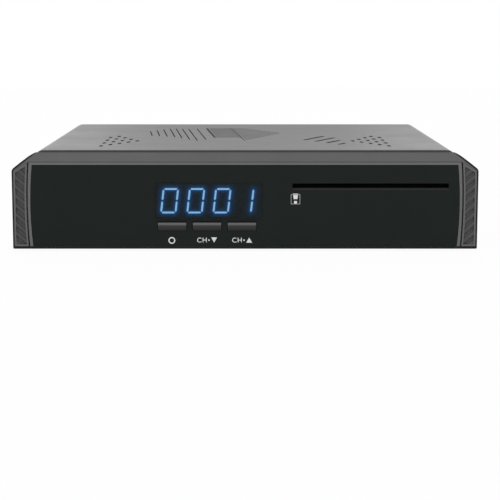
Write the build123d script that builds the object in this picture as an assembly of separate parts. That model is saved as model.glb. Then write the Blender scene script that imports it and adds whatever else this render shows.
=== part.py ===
from build123d import *
import os
from math import cos, radians, tan

os.makedirs("parts", exist_ok=True)

# A set-top satellite receiver, in millimetres.
# It is drawn with the front face on Y = 0, the case's underside on Z = 0 and X = 0 in its middle,
# and each piece is moved to the part's own frame, centred over its feet, when it is saved.

# Case
case_width = 180.0
case_depth = 118.0
case_height = 37.2
wall = 2.0
shoulder_drop = 6.8
shoulder_angle = 38.0
frame_corner_radius = 11.0
cover_corner_radius = 4.0
side_step = 0.8
side_corner_radius = 2.0
bottom_corner_radius = 1.2
frame_bottom_radius = 0.5
frame_drop = 0.65
rear_edge_radius = 0.8
cover_edge_radius = 0.2
split_height = 8.0
shell_gap = 0.15
lip_thickness = 1.2
lip_height = 2.5
lip_root = 3.0

# Front frame: the band slopes back from a narrow lip over the fascia to the cover's front edge
band_depth = 5.0
band_rise = 2.92
cover_step = 0.68
top_lip = 1.4
bottom_lip = 1.0
seam_gap = 0.4
tongue_reach = 4.0
tongue_root = 1.0
fascia_ledge = 1.5
frame_wall = 3.4
frame_edge_radius = 0.25
top_rim = 0.95
top_groove = 0.25
top_groove_depth = 0.2
top_groove_overlap = 0.1

# Fascia
front_end_width = 7.85
fascia_bow = 0.85
fascia_thickness = 2.0
fascia_recess = 0.2
fascia_gap = 0.1

# Ribbed cheeks at both ends of the front
rim_width = 1.15
groove_width = 0.6
cheek_bow = 0.6
cheek_border = 0.6
cheek_thickness = 1.7
cheek_sink = 0.05
cheek_gap = 0.05
cheek_rim = 0.7
cheek_top_drop = 0.75
field_depth = 0.7
rib_pitch = 2.8
rib_angle = 40.0
rib_radius = 1.1
rib_sink = 0.12
rib_length = 9.0

# Four-digit display
display_z = 18.05
module_width = 40.3
module_height = 12.8
module_depth = 8.0
module_gap = 0.3
window_thickness = 0.8
window_border = 0.6
window_gap = 0.02
window_to_module = 0.2
digit_height = 9.9
digit_width = 6.3
digit_cell_spill = 0.3
digit_slant = 6.5
segment_width = 0.7
segment_gap = 0.24
segment_depth = 0.6
segment_proud = 0.05
shown_digits = "0001"
last_digit_shift = -1.25
point_radius = 0.5

# Keys and their switches
key_names = ("standby", "channel_down", "channel_up")
key_row_shift = -0.7
key_spacing = 2.6
key_width = 10.9
key_height = 3.6
key_to_module = 1.55
key_gap = 0.15
key_proud = 0.9
key_nose_radius = 1.0
key_bow = 0.15
key_flange = 0.8
flange_thickness = 1.0
flange_gap = 0.25
stem_size = 2.4
switch_size = 6.0
switch_height = 3.4
plunger_radius = 1.7
plunger_gap = 0.05
plunger_proud = 1.0
plunger_inside = 1.8
switch_floor = 0.9

# Card slot and reader
slot_end_gap = 3.45
slot_z = 24.1
slot_width = 60.4
slot_height = 1.7
slot_flare = 0.7
slot_flare_depth = 0.7
card_width = 54.4
channel_height = 1.2
channel_depth = 49.0
reader_width = 62.0
reader_back = 2.0
reader_floor = 2.95
reader_gap = 0.4
reader_mouth_depth = 4.0
reader_mouth_drop = 0.5
reader_lid = 0.6
reader_window_width = 30.0
reader_window_depth = 22.0
contact_pitch = 2.54
contact_row_gap = 7.62
contact_width = 1.2
contact_length = 5.0
contact_rise = 0.3
contact_set_back = 14.0
reader_screw_inset = 1.9
reader_screw_front = 12.0
reader_screw_back = 6.0
spacer_radius = 2.2
spacer_grip = 4.0

# Circuit boards
board_thickness = 1.6
main_board_side_gap = 10.0
board_notch_gap = 0.5
standoff_height = 3.5
board_end_gap = 0.7
front_board_gap = 1.5
front_board_margin = 2.3
front_board_ear = 9.85
front_board_bottom = 4.2
front_board_top = 27.0
front_boss_radius = 2.2
front_boss_x_inset = 3.6
front_boss_low = 9.6
front_boss_high = 23.6
card_board_gap = 3.0
header_length = 20.0
header_size = 2.5
header_pins = 8
pin_size = 0.64
header_pin_drop = 1.2
tall_header_length = 12.7
tall_header_width = 5.0

# Screws
screw_head_radius = 2.7
screw_head_height = 1.6
screw_radius = 1.3
screw_gap = 0.1
cross_depth = 0.9
cross_length = 3.2
cross_width = 0.7
boss_radius = 3.1
post_radius = 2.7
post_inset = 6.3
post_front_y = 22.0
post_back = 16.0
post_split_gap = 0.2
post_boss_wall = 2.0
case_screw_length = 16.0
case_screw_seat = 3.0
case_screw_spare = 1.0
board_screw_length = 4.5
board_screw_inset = 10.0
board_screw_front_y = 20.0
board_screw_back = 37.0
small_screw_head_radius = 1.9
small_screw_head_height = 1.2
small_screw_radius = 0.9
small_screw_length = 6.0

# Rear panel
rear_recess = 0.8
rear_thickness = 1.5
rear_gap = 0.1
rear_ledge = 1.2
hole_gap = 0.3
rear_screw_z = 22.0
rear_block_width = 8.0
rear_block_height = 6.4
rear_block_depth = 8.5
rear_screw_length = 7.0

# Satellite tuner and its threaded aerial sockets
tuner_width = 38.0
tuner_depth = 30.0
tuner_height = 13.0
tuner_wall = 0.6
tuner_lid_thickness = 0.5
tuner_lid_skirt = 3.0
tuner_lid_gap = 0.05
tuner_partition = 12.0
aerial_pitch = 18.0
aerial_axis_height = 7.0
aerial_radius = 4.7625
aerial_shank_radius = 4.6
aerial_bore = 3.5
aerial_pin_hole = 0.6
aerial_reach = 10.0
aerial_base = 1.5
aerial_base_radius = 5.6
aerial_core_sink = 0.8
thread_run_out = 0.3
nut_across_flats = 11.1
nut_thickness = 2.4
washer_thickness = 0.8
washer_radius = 7.0
washer_gap = 0.1
core_gap = 0.04

# Sockets on the back edge of the main board. They and the tuner share out what their widths leave
# of it, from the left-hand end as seen from the front.
row_gap_parts = (5.0, 2.0, 2.0, 1.9, 2.4, 2.0, 0.95, 3.45)
av_width = 47.0
av_height = 15.4
av_depth = 19.0
av_cut = 5.0
av_wall = 0.7
av_core_gap = 1.3
av_floor = 3.0
av_contact_pitch = 3.81
av_contact_width = 0.9
av_contact_height = 3.0
av_contact_depth = 7.0
av_contact_rows = (10, 10)
av_row_pitch = 6.2
av_proud = 1.0
video_width = 15.0
video_height = 5.6
video_depth = 11.5
video_corner = 1.4
data_width = 13.2
data_height = 6.0
data_depth = 14.0
socket_wall = 0.4
socket_floor = 2.0
socket_proud = 0.6
video_tongue_width = 11.6
video_tongue_thickness = 1.0
data_tongue_width = 11.0
data_tongue_thickness = 1.9
data_tongue_offset = 1.0
tongue_back = 1.0
audio_body_width = 10.0
audio_body_height = 11.0
audio_body_depth = 9.0
audio_axis_height = 6.5
audio_radius = 4.15
audio_core_radius = 3.2
audio_hole_radius = 1.6
audio_reach = 8.0
audio_shank_radius = 3.8
audio_ring_gap = 0.3
remote_body_width = 7.0
remote_body_height = 6.0
remote_body_depth = 13.0
remote_bore = 1.8
remote_bore_depth = 12.0
remote_collar_radius = 2.9
remote_collar_reach = 2.4
power_body_width = 9.0
power_body_height = 11.0
power_body_depth = 14.0
power_axis_height = 6.5
power_bore = 3.1
power_bore_depth = 9.5
power_pin_radius = 1.05
power_pin_back = 0.6

# Parts on the main board
processor_x = -12.0
processor_y = 62.0
processor_size = 19.0
processor_thickness = 1.6
sink_size = 26.0
sink_base = 2.0
sink_fins = 8
fin_thickness = 1.0
fin_height = 7.5
memory_y = 38.0
memory_pitch = 16.0
memory_width = 9.0
memory_length = 13.0
memory_thickness = 1.1
capacitor_insets = (23.0, 33.5)
capacitor_backs = (21.0, 31.0, 41.0)
capacitor_radius = 4.0
capacitor_height = 11.0
capacitor_groove = 0.4
coil_insets = (45.0, 55.0)
coil_back = 30.0
coil_size = 8.0
coil_height = 4.0
coil_radius = 2.8
coil_gap = 0.6
coil_floor = 1.0
regulator_inset = 14.0
regulator_y = 58.0
regulator_width = 6.6
regulator_length = 6.2
regulator_height = 2.3
regulator_tab = 1.4
regulator_tab_thickness = 0.5
regulator_leg_pitch = 2.3
regulator_leg = 0.7
crystal_offset = 22.0
crystal_y = 52.0
crystal_length = 11.0
crystal_width = 4.6
crystal_height = 3.5
eye_gap = 2.15
eye_z = 17.0
eye_width = 5.4
eye_height = 6.4
eye_depth = 4.4
eye_radius = 2.0

# Rubber feet
foot_height = 2.0
foot_radius = 6.0
foot_edge = 0.5
foot_inset = 18.0
foot_front_y = 15.0
foot_back = 14.0

# Vents in the cover: a triangle of short holes at each side, with slits, fine slits and slots between
vent_hole_width = 1.5
vent_hole_length = 4.8
vent_hole_pitch = 11.0
vent_column_counts = (4, 4, 3, 2, 1)
vent_column_pitch = 3.2
vent_column_step = 4.8
vent_first_x = 58.0
vent_first_y = 21.5
slit_width = 0.5
slit_pitch = 3.45
slit_first_x = -40.7
slit_tilt = 6.8
slit_fronts = (62.5, 60.5, 58.5, 56.5, 51.0, 46.0, 41.5, 46.0, 54.0)
slit_backs = (82.5, 87.0, 91.0, 95.0, 95.0, 95.0, 95.0, 95.0, 95.0)
fine_slit_width = 0.4
fine_slit_pitch = 1.25
fine_slit_count = 23
fine_slits_left = 10
fine_left_front = 54.0
fine_tip_front = 41.5
fine_tip_slope = 2.0
fine_back = 97.0
fine_level_count = 14
fine_back_slope = 2.0
slot_vent_width = 1.8
slot_vent_lengths = (18.5, 18.5, 12.5, 6.5)
slot_vent_first_x = 24.9
slot_vent_first_y = 44.2
slot_vent_step = 4.4
slot_vent_fall = 5.8
slot_vent_tilt = -30.5
floor_vent_width = 2.0
floor_vent_length = 40.0
floor_vent_pitch = 6.0
floor_vent_count = 16
floor_vent_front = 42.0

# Worked out from the sizes above
half_width = case_width / 2
cover_half_width = half_width - side_step
fascia_half_width = half_width - front_end_width
main_board_half = half_width - main_board_side_gap
shoulder_z = case_height - shoulder_drop
band_top = case_height - cover_step
band_foot = band_top - band_rise
fascia_top = band_foot - top_lip
fascia_foot = bottom_lip - frame_drop
groove_low = fascia_top + top_rim
groove_high = groove_low + top_groove
fascia_back = fascia_recess + fascia_thickness
cover_front = band_depth + seam_gap
tongue_end = band_depth + tongue_reach
tongue_inset = wall + shell_gap
hollow_inset = tongue_inset + lip_thickness
module_front = fascia_recess + window_thickness + window_to_module
front_board_y = module_front + module_depth
main_board_front = front_board_y + board_thickness + board_end_gap
rear_face = case_depth - rear_recess
rear_panel_y = rear_face - rear_thickness
main_board_back = rear_panel_y - board_end_gap
rear_screw_x = cover_half_width - wall - rear_block_width / 2
post_split = split_height
case_screw_end = case_screw_seat + case_screw_length + case_screw_spare
post_boss_radius = screw_head_radius + screw_gap + post_boss_wall
window_width = module_width + 2 * (module_gap + window_border)
window_height = module_height + 2 * (module_gap + window_border)
board_under = wall + standoff_height
board_top = board_under + board_thickness
switch_front = front_board_y - switch_height
plunger_tip = switch_front - plunger_proud
channel_floor = slot_z - channel_height / 2
reader_under = channel_floor - reader_floor
card_board_under = reader_under - board_thickness
reader_front = fascia_back + reader_gap
reader_end = reader_front + channel_depth + reader_back
aerial_z = board_top + aerial_axis_height
aerial_tip = rear_face + aerial_reach
aerial_thread_start = rear_face + washer_thickness + nut_thickness + thread_run_out
audio_ring_start = rear_face + audio_ring_gap
lid_overhang = tuner_lid_gap + tuner_lid_thickness

# Places across the front, from the card slot at the right-hand end to the front board's left end
slot_x = fascia_half_width - slot_end_gap - slot_width / 2
front_board_right = slot_x - reader_width / 2 - front_board_gap
eye_x = front_board_right - front_board_margin - eye_width / 2
display_x = eye_x - eye_width / 2 - eye_gap - module_width / 2
front_board_left = display_x - module_width / 2 - front_board_ear
digit_pitch = (module_width + digit_cell_spill) / len(shown_digits)
key_z = display_z - module_height / 2 - key_to_module - key_height / 2
key_xs = [display_x + key_row_shift + (i - (len(key_names) - 1) / 2) * (key_width + key_spacing)
          for i in range(len(key_names))]

# Places across the back, from the left-hand end of the board
row_widths = (power_body_width, remote_body_width, audio_body_width, data_width, video_width, av_width,
              tuner_width + 2 * lid_overhang)
row_share = (2 * main_board_half - sum(row_widths)) / sum(row_gap_parts)
power_x, remote_x, audio_x, data_x, video_x, av_x, tuner_x = [
    sum(row_widths[:i]) + width / 2 + row_share * sum(row_gap_parts[:i + 1]) - main_board_half
    for i, width in enumerate(row_widths)]

# Places in the case and on the main board
post_x = cover_half_width - post_inset
post_back_y = case_depth - post_back
foot_x = half_width - foot_inset
foot_back_y = case_depth - foot_back
board_screw_x = main_board_half - board_screw_inset
board_screw_back_y = main_board_back - board_screw_back
capacitor_xs = [inset - main_board_half for inset in capacitor_insets]
capacitor_ys = [main_board_back - back for back in capacitor_backs]
coil_xs = [inset - main_board_half for inset in coil_insets]
coil_y = main_board_back - coil_back
regulator_x = regulator_inset - main_board_half
crystal_x = processor_x - crystal_offset


def save(name, *solids):
    """Move the solids of one piece to the part's frame and write them to one file."""
    home = Pos(0, -mid_depth, foot_height)
    moved = [home * solid for shape in solids for solid in shape.solids()]
    shape = moved[0] if len(moved) == 1 else Compound(children=moved)
    export_step(shape, f"parts/{name}.step")


def front_view(sketch, y_from, y_to):
    """A solid with an outline drawn in X and Z, between two depths."""
    plane = Plane(origin=(0, y_from, 0), x_dir=(1, 0, 0), z_dir=(0, -1, 0))
    return extrude(plane * sketch, amount=y_to - y_from, dir=(0, 1, 0))


def top_view(sketch, z_from, z_to):
    """A solid with an outline drawn in X and Y, between two heights."""
    return extrude(Plane.XY.offset(z_from) * sketch, amount=z_to - z_from)


def side_view(sketch, x_from, x_to):
    """A solid with an outline drawn in Y and Z, between two places across."""
    return extrude(Plane.YZ.offset(x_from) * sketch, amount=x_to - x_from)


def block(x_from, x_to, y_from, y_to, z_from, z_to):
    box = Box(x_to - x_from, y_to - y_from, z_to - z_from, align=Align.MIN)
    return Pos(x_from, y_from, z_from) * box


def rod_y(x, z, radius, y_from, y_to):
    rod = Cylinder(radius, y_to - y_from, align=(Align.CENTER, Align.CENTER, Align.MIN))
    return Pos(x, y_from, z) * Rot(-90, 0, 0) * rod


def rod_z(x, y, radius, z_from, z_to):
    rod = Cylinder(radius, z_to - z_from, align=(Align.CENTER, Align.CENTER, Align.MIN))
    return Pos(x, y, z_from) * rod


def joined(shapes):
    """Fuse a list of solids into one shape."""
    first, *rest = shapes
    return first.fuse(*rest) if rest else first


def case_outline(inset, low, low_radius, top_radius, step=0.0):
    """The case from the front, made smaller all round: flat top, sloping shoulders, upright sides.

    It stands on the height low. A step takes only the shoulders and the sides further in."""
    slope = tan(radians(shoulder_angle))
    offset = (inset + step) / cos(radians(shoulder_angle))
    side = half_width - inset - step
    top = case_height - inset
    side_top = shoulder_z + (inset + step) * slope - offset
    top_edge = half_width - (top - shoulder_z + offset) / slope
    points = [(-side, low), (side, low), (side, side_top)]
    points += [(top_edge, top), (-top_edge, top), (-side, side_top)]
    full = [low_radius] * 2 + [side_corner_radius] + [top_radius] * 2 + [side_corner_radius]
    radii = [max(radius - inset, 0.0) for radius in full]
    return make_face(FilletPolyline(*points, radius=radii, close=True))


def cover_outline(inset):
    """The cover and tray from the front: a little narrower than the frame in front of them."""
    return case_outline(inset, inset, bottom_corner_radius, cover_corner_radius, side_step)


def fascia_outline(inset):
    """The fascia from the front: straight top and bottom, sides that bow outwards."""
    side = fascia_half_width - inset
    low = fascia_foot + inset
    high = fascia_top - inset
    middle = (low + high) / 2
    right = ThreePointArc((side, low), (side + fascia_bow, middle), (side, high))
    left = ThreePointArc((-side, high), (-side - fascia_bow, middle), (-side, low))
    return make_face([Line((-side, low), (side, low)), right, Line((side, high), (-side, high)), left])


def cheek_outline(inset, inner_gap):
    """The right-hand cheek from the front: a bowed inner side and a slanted top."""
    pocket_inner = fascia_half_width + rim_width
    pocket_outer = half_width - cheek_border
    slope = (groove_high - shoulder_z + cheek_top_drop) / (pocket_outer - pocket_inner)
    inner = pocket_inner + inner_gap
    outer = pocket_outer - inset
    low = fascia_foot + inset
    under = inset * (1 + slope ** 2) ** 0.5
    inner_top = groove_high - (inner - pocket_inner) * slope - under
    outer_top = groove_high - (outer - pocket_inner) * slope - under
    inner_side = ThreePointArc((inner, low), (inner + cheek_bow, (low + inner_top) / 2), (inner, inner_top))
    rest = Polyline((inner, inner_top), (outer, outer_top), (outer, low), (inner, low))
    return make_face([inner_side, rest])


def screw(head_radius, head_height, radius, length):
    """A cross-head screw that points up, with the underside of its head on Z = 0."""
    body = rod_z(0, 0, head_radius, -head_height, 0) + rod_z(0, 0, radius, 0, length)
    cross = Rectangle(cross_length, cross_width) + Rectangle(cross_width, cross_length)
    return body - top_view(cross, -head_height, -head_height + cross_depth)


def case_shell():
    """Cover and tray together: an open-ended tube behind the front frame, with a rear ledge."""
    tube = front_view(cover_outline(0), cover_front, case_depth)
    tube = fillet(tube.faces().sort_by(Axis.Y)[-1].edges(), rear_edge_radius)
    tube = fillet(tube.faces().sort_by(Axis.Y)[0].edges(), cover_edge_radius)
    tube -= front_view(cover_outline(wall), cover_front, case_depth)
    ledge = front_view(cover_outline(wall) - cover_outline(wall + rear_ledge),
                       rear_panel_y - rear_ledge, rear_panel_y)
    return tube + ledge


def post_places():
    return [(side * post_x, y) for side in (-1, 1) for y in (post_front_y, post_back_y)]


def round_ended(x, front, length, width, tilt):
    """One vent in plan, drawn back from its front end. A tilt takes its back end to the left."""
    vent = Pos(length / 2, 0) * SlotOverall(length, width)
    return Pos(x, front) * Rot(0, 0, 90 + tilt) * vent


def hole_vents():
    """The two outer triangles of short holes. Their columns start further back towards the middle."""
    holes = []
    for column, count in enumerate(vent_column_counts):
        x = vent_first_x - column * vent_column_pitch
        for row in range(count):
            y = vent_first_y + column * vent_column_step + row * vent_hole_pitch
            for side in (-1, 1):
                holes.append(round_ended(side * x, y - vent_hole_length / 2, vent_hole_length,
                                         vent_hole_width, 0))
    return holes


def slit_vents():
    """Long slits on the left, short at the outside, whose front ends make a V."""
    return [round_ended(slit_first_x + i * slit_pitch, front, (back - front) / cos(radians(slit_tilt)),
                        slit_width, slit_tilt)
            for i, (front, back) in enumerate(zip(slit_fronts, slit_backs))]


def fine_slit_vents():
    """Fine slits in the middle: level in front on the left, then a tip that runs back to the right."""
    slits = []
    for i in range(fine_slit_count):
        x = (i - fine_slits_left) * fine_slit_pitch
        front = fine_left_front if x < 0 else fine_tip_front + x * fine_tip_slope
        back = fine_back - max(i - fine_level_count, 0) * fine_slit_pitch * fine_back_slope
        slits.append(round_ended(x, front, (back - front) / cos(radians(slit_tilt)), fine_slit_width,
                                 slit_tilt))
    return slits


def slot_vents():
    """Thick slanted slots on the right, each nearer to the front."""
    return [round_ended(slot_vent_first_x + i * slot_vent_step, slot_vent_first_y - i * slot_vent_fall,
                        length, slot_vent_width, slot_vent_tilt)
            for i, length in enumerate(slot_vent_lengths)]


def top_cover():
    """Upper shell: top, shoulders and sides, with vents, screw posts and two blocks at the back."""
    cover = case_shell() & block(-half_width, half_width, 0, case_depth, split_height, case_height)
    inside = front_view(cover_outline(wall / 2), cover_front, case_depth)
    posts = [rod_z(x, y, post_radius, post_split + post_split_gap, case_height)
             for x, y in post_places()]
    cover += joined(posts) & inside
    for side in (-1, 1):
        edge = side * (cover_half_width - wall / 2)
        inner = side * (cover_half_width - wall - rear_block_width)
        cover += block(min(edge, inner), max(edge, inner), rear_panel_y - rear_block_depth, rear_panel_y,
                       rear_screw_z - rear_block_height / 2, rear_screw_z + rear_block_height / 2)
        cover -= rod_y(side * rear_screw_x, rear_screw_z, screw_radius + screw_gap,
                       rear_face - rear_screw_length - screw_gap, rear_panel_y)
    for x, y in post_places():
        cover -= rod_z(x, y, screw_radius + screw_gap, post_split, case_screw_end)
    vents = hole_vents() + slit_vents() + fine_slit_vents() + slot_vents()
    cutters = [top_view(vent, case_height - 2 * wall, case_height + wall) for vent in vents]
    return cover.cut(*cutters)


def bottom_tray():
    """Lower shell: floor and low sides, with a lip inside the cover, board studs and screw bosses."""
    tray = case_shell() & block(-half_width, half_width, 0, case_depth, 0, split_height)
    lip_front = tongue_end + shell_gap
    lip_back = rear_panel_y - rear_ledge
    for side in (-1, 1):
        outer = side * (cover_half_width - wall - shell_gap)
        inner = side * (cover_half_width - wall - shell_gap - lip_thickness)
        seat = side * (cover_half_width - wall / 2)
        low, high = min(outer, inner), max(outer, inner)
        tray += block(low, high, lip_front, lip_back, split_height - lip_root, split_height + lip_height)
        tray += block(min(seat, inner), max(seat, inner), lip_front, lip_back,
                      split_height - lip_root, split_height)
    for x, y in board_screw_places():
        tray += rod_z(x, y, boss_radius, wall / 2, board_under)
        tray -= rod_z(x, y, screw_radius + screw_gap, wall, board_under)
    for x, y in post_places():
        tray += rod_z(x, y, post_boss_radius, 0, post_split)
        tray -= rod_z(x, y, screw_radius + screw_gap, 0, post_split)
        tray -= rod_z(x, y, screw_head_radius + screw_gap, 0, case_screw_seat)
    first = -(floor_vent_count - 1) / 2 * floor_vent_pitch
    cutters = [top_view(round_ended(first + i * floor_vent_pitch, floor_vent_front, floor_vent_length,
                                    floor_vent_width, 0), -wall, 2 * wall)
               for i in range(floor_vent_count)]
    return tray.cut(*cutters)


def front_bezel():
    """The frame round the fascia: sloped band, shoulders, cheek pockets and a tongue into the case."""
    outline = case_outline(0, -frame_drop, frame_bottom_radius, frame_corner_radius)
    frame = front_view(outline, 0, band_depth)
    rise = band_rise / band_depth
    above = [(-wall, band_foot - wall * rise), (band_depth + wall, band_top + wall * rise),
             (band_depth + wall, 2 * case_height), (-wall, 2 * case_height)]
    frame -= side_view(make_face(Polyline(*above, close=True)), -half_width, half_width)
    frame = fillet(frame.faces().sort_by(Axis.Y)[0].edges(), frame_edge_radius)
    frame += front_view(cover_outline(tongue_inset), band_depth - tongue_root, tongue_end)
    frame -= front_view(cover_outline(hollow_inset), frame_wall, tongue_end)
    frame -= front_view(fascia_outline(0), 0, fascia_back)
    frame -= front_view(fascia_outline(fascia_ledge), 0, tongue_end)
    groove_end = fascia_half_width + rim_width + top_groove_overlap
    frame -= block(-groove_end, groove_end, 0, top_groove_depth, groove_low, groove_high)
    pocket = front_view(cheek_outline(0, 0), 0, cheek_sink + cheek_thickness)
    return frame - pocket - mirror(pocket, about=Plane.YZ)


def cheek():
    """The right-hand cheek: a rimmed insert with round ribs that rise outwards."""
    back = cheek_sink + cheek_thickness
    body = front_view(cheek_outline(cheek_gap, groove_width), cheek_sink, back)
    rim = cheek_gap + cheek_rim
    field = cheek_outline(rim, groove_width + cheek_rim)
    floor = cheek_sink + field_depth
    pocket = front_view(field, cheek_sink + rib_sink, floor)
    body -= front_view(field, cheek_sink, floor)
    rise = rib_pitch / cos(radians(rib_angle))
    middle = (fascia_half_width + rim_width + half_width) / 2
    count = int(fascia_top / rise) + 2
    ribs = [Pos(middle, cheek_sink + rib_sink + rib_radius, i * rise)
            * Rot(0, 90 - rib_angle, 0) * Cylinder(rib_radius, rib_length)
            for i in range(count)]
    return body + (joined(ribs) & pocket)


def fascia_panel():
    """The front panel with its openings, and bosses behind it for the front board."""
    panel = front_view(fascia_outline(fascia_gap), fascia_recess, fascia_back)
    window = Pos(display_x, display_z) * Rectangle(window_width, window_height)
    panel -= front_view(window, fascia_recess, fascia_recess + window_thickness)
    throat = Pos(display_x, display_z) * Rectangle(module_width + 2 * module_gap,
                                                  module_height + 2 * module_gap)
    panel -= front_view(throat, fascia_recess, fascia_back)
    for x in key_xs:
        hole = Pos(x, key_z) * Rectangle(key_width + 2 * key_gap, key_height + 2 * key_gap)
        panel -= front_view(hole, fascia_recess, fascia_back)
    low = slot_z - slot_height / 2
    high = slot_z + slot_height / 2
    mouth = [(fascia_recess, high), (fascia_back, high), (fascia_back, low),
             (fascia_recess + slot_flare_depth, low), (fascia_recess, low - slot_flare)]
    panel -= side_view(make_face(Polyline(*mouth, close=True)),
                       slot_x - slot_width / 2, slot_x + slot_width / 2)
    for x, z in front_boss_places():
        panel += rod_y(x, z, front_boss_radius, fascia_back, front_board_y)
        panel -= rod_y(x, z, small_screw_radius + screw_gap, fascia_back, front_board_y)
    return panel


def display_window():
    """The smoked filter, set flush in the fascia over the digits."""
    sheet = Pos(display_x, display_z) * Rectangle(window_width - 2 * window_gap,
                                                 window_height - 2 * window_gap)
    return front_view(sheet, fascia_recess, fascia_recess + window_thickness)


def segment_outlines(x):
    """The seven segments of one digit, by letter, as slanted six-sided outlines in X and Z."""
    lean = tan(radians(digit_slant))
    across = digit_width / 2 - segment_width / 2
    up = digit_height / 2 - segment_width / 2
    half = segment_width / 2

    def outline(start, end):
        (x0, z0), (x1, z1) = start, end
        length = max(abs(x1 - x0), abs(z1 - z0))
        dx, dz = (x1 - x0) / length, (z1 - z0) / length
        x0, z0 = x0 + dx * segment_gap, z0 + dz * segment_gap
        x1, z1 = x1 - dx * segment_gap, z1 - dz * segment_gap
        sides = [(x0, z0), (x0 + (dx - dz) * half, z0 + (dz + dx) * half),
                 (x1 - (dx + dz) * half, z1 - (dz - dx) * half), (x1, z1),
                 (x1 - (dx - dz) * half, z1 - (dz + dx) * half),
                 (x0 + (dx + dz) * half, z0 + (dz - dx) * half)]
        return make_face(Polyline(*[(x + px + pz * lean, display_z + pz) for px, pz in sides], close=True))

    left, right = -across, across
    return {
        "a": outline((left, up), (right, up)),
        "b": outline((right, 0), (right, up)),
        "c": outline((right, -up), (right, 0)),
        "d": outline((left, -up), (right, -up)),
        "e": outline((left, -up), (left, 0)),
        "f": outline((left, 0), (left, up)),
        "g": outline((left, 0), (right, 0)),
    }


def display_segments():
    """Two lists of light bars: those that show the digits, and those that stay dark."""
    lit_letters = {"0": "abcdef", "1": "bc"}
    lit, dark = [], []
    last = len(shown_digits) - 1
    for i, digit in enumerate(shown_digits):
        x = display_x + (i - last / 2) * digit_pitch + (last_digit_shift if i == last else 0)
        for letter, outline in segment_outlines(x).items():
            bar = front_view(outline, module_front - segment_proud, module_front + segment_depth)
            (lit if letter in lit_letters[digit] else dark).append(bar)
        point_x = x + (digit_width + digit_pitch) / 4
        point_z = display_z - digit_height / 2 + point_radius
        dark.append(rod_y(point_x, point_z, point_radius, module_front - segment_proud,
                          module_front + segment_depth))
    return lit, dark


def display_module(bars):
    """The display's black housing, with a pocket for each light bar."""
    body = block(display_x - module_width / 2, display_x + module_width / 2, module_front, front_board_y,
                 display_z - module_height / 2, display_z + module_height / 2)
    return body.cut(*bars)


def key(x):
    """A key: a bowed nose that stands out at the top, a flange behind the fascia and a stem."""
    low, high = key_z - key_height / 2, key_z + key_height / 2
    flange_front = fascia_back + flange_gap
    nose = fascia_recess - key_proud
    bow = ThreePointArc((fascia_recess, low), (fascia_recess - key_proud / 2 - key_bow, key_z), (nose, high))
    rest = Polyline((nose, high), (flange_front, high), (flange_front, low), (fascia_recess, low))
    cap = side_view(make_face([bow, rest]), x - key_width / 2, x + key_width / 2)
    cap = fillet(cap.edges().filter_by(Axis.X).sort_by(Axis.Y)[0], key_nose_radius)
    flange = Pos(x, key_z) * Rectangle(key_width + 2 * key_flange, key_height + 2 * key_flange)
    stem = Pos(x, key_z) * Rectangle(stem_size, stem_size)
    back = flange_front + flange_thickness
    return cap + front_view(flange, flange_front, back) + front_view(stem, back, plunger_tip)


def switch_body(x):
    """A push switch's square body, open in the middle for its plunger."""
    half = switch_size / 2
    body = block(x - half, x + half, switch_front, front_board_y, key_z - half, key_z + half)
    return body - rod_y(x, key_z, plunger_radius + plunger_gap, switch_front, front_board_y - switch_floor)


def plunger(x):
    return rod_y(x, key_z, plunger_radius, plunger_tip, switch_front + plunger_inside)


def front_boss_places():
    left = front_board_left + front_boss_x_inset
    right = front_board_right - front_boss_x_inset
    return [(left, front_boss_low), (left, front_boss_high), (right, front_boss_low)]


def front_board():
    board = block(front_board_left, front_board_right, front_board_y, front_board_y + board_thickness,
                  front_board_bottom, front_board_top)
    for x, z in front_boss_places():
        board -= rod_y(x, z, small_screw_radius + screw_gap, front_board_y, front_board_y + board_thickness)
    return board


def front_board_screws():
    small = screw(small_screw_head_radius, small_screw_head_height, small_screw_radius, small_screw_length)
    back = front_board_y + board_thickness
    return [Pos(x, back, z) * Rot(90, 0, 0) * small for x, z in front_boss_places()]


def infrared_eye():
    """The remote control's receiver: a block with a round lens, behind the fascia."""
    body = block(eye_x - eye_width / 2, eye_x + eye_width / 2, front_board_y - eye_depth, front_board_y,
                 eye_z - eye_height / 2, eye_z + eye_height / 2)
    lens = Pos(eye_x, front_board_y - eye_depth, eye_z) * Sphere(eye_radius)
    return body + lens


def board_header():
    """Pins that join the upright front board to the main board."""
    x = display_x
    body = block(x - header_length / 2, x + header_length / 2, main_board_front,
                 main_board_front + header_size, board_top, board_top + header_size)
    first = x - (header_pins - 1) / 2 * (header_length / header_pins)
    z = board_top + header_pin_drop
    pins = []
    for i in range(header_pins):
        middle = first + i * header_length / header_pins
        pins.append(block(middle - pin_size / 2, middle + pin_size / 2, front_board_y + board_thickness,
                          main_board_front + pin_size, z - pin_size / 2, z + pin_size / 2))
    return body.fuse(*pins)


def reader_screw_places():
    left = slot_x - reader_width / 2 + reader_screw_inset
    right = slot_x + reader_width / 2 - reader_screw_inset
    front = reader_front + reader_screw_front
    back = reader_end - reader_screw_back
    return [(x, y) for x in (left, right) for y in (front, back)]


def card_reader_base():
    """The reader's moulded bed: a wide mouth, then a channel for the card that is closed at the back."""
    left, right = slot_x - reader_width / 2, slot_x + reader_width / 2
    top = channel_floor + channel_height
    bed = block(left, right, reader_front, reader_end, reader_under, top)
    bed -= block(slot_x - card_width / 2, slot_x + card_width / 2, reader_front,
                 reader_front + channel_depth, channel_floor, top)
    bed -= block(slot_x - slot_width / 2, slot_x + slot_width / 2, reader_front,
                 reader_front + reader_mouth_depth, channel_floor - reader_mouth_drop, top)
    for x, y in reader_screw_places():
        bed -= rod_z(x, y, small_screw_radius + screw_gap, reader_under, top)
    return bed


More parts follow.
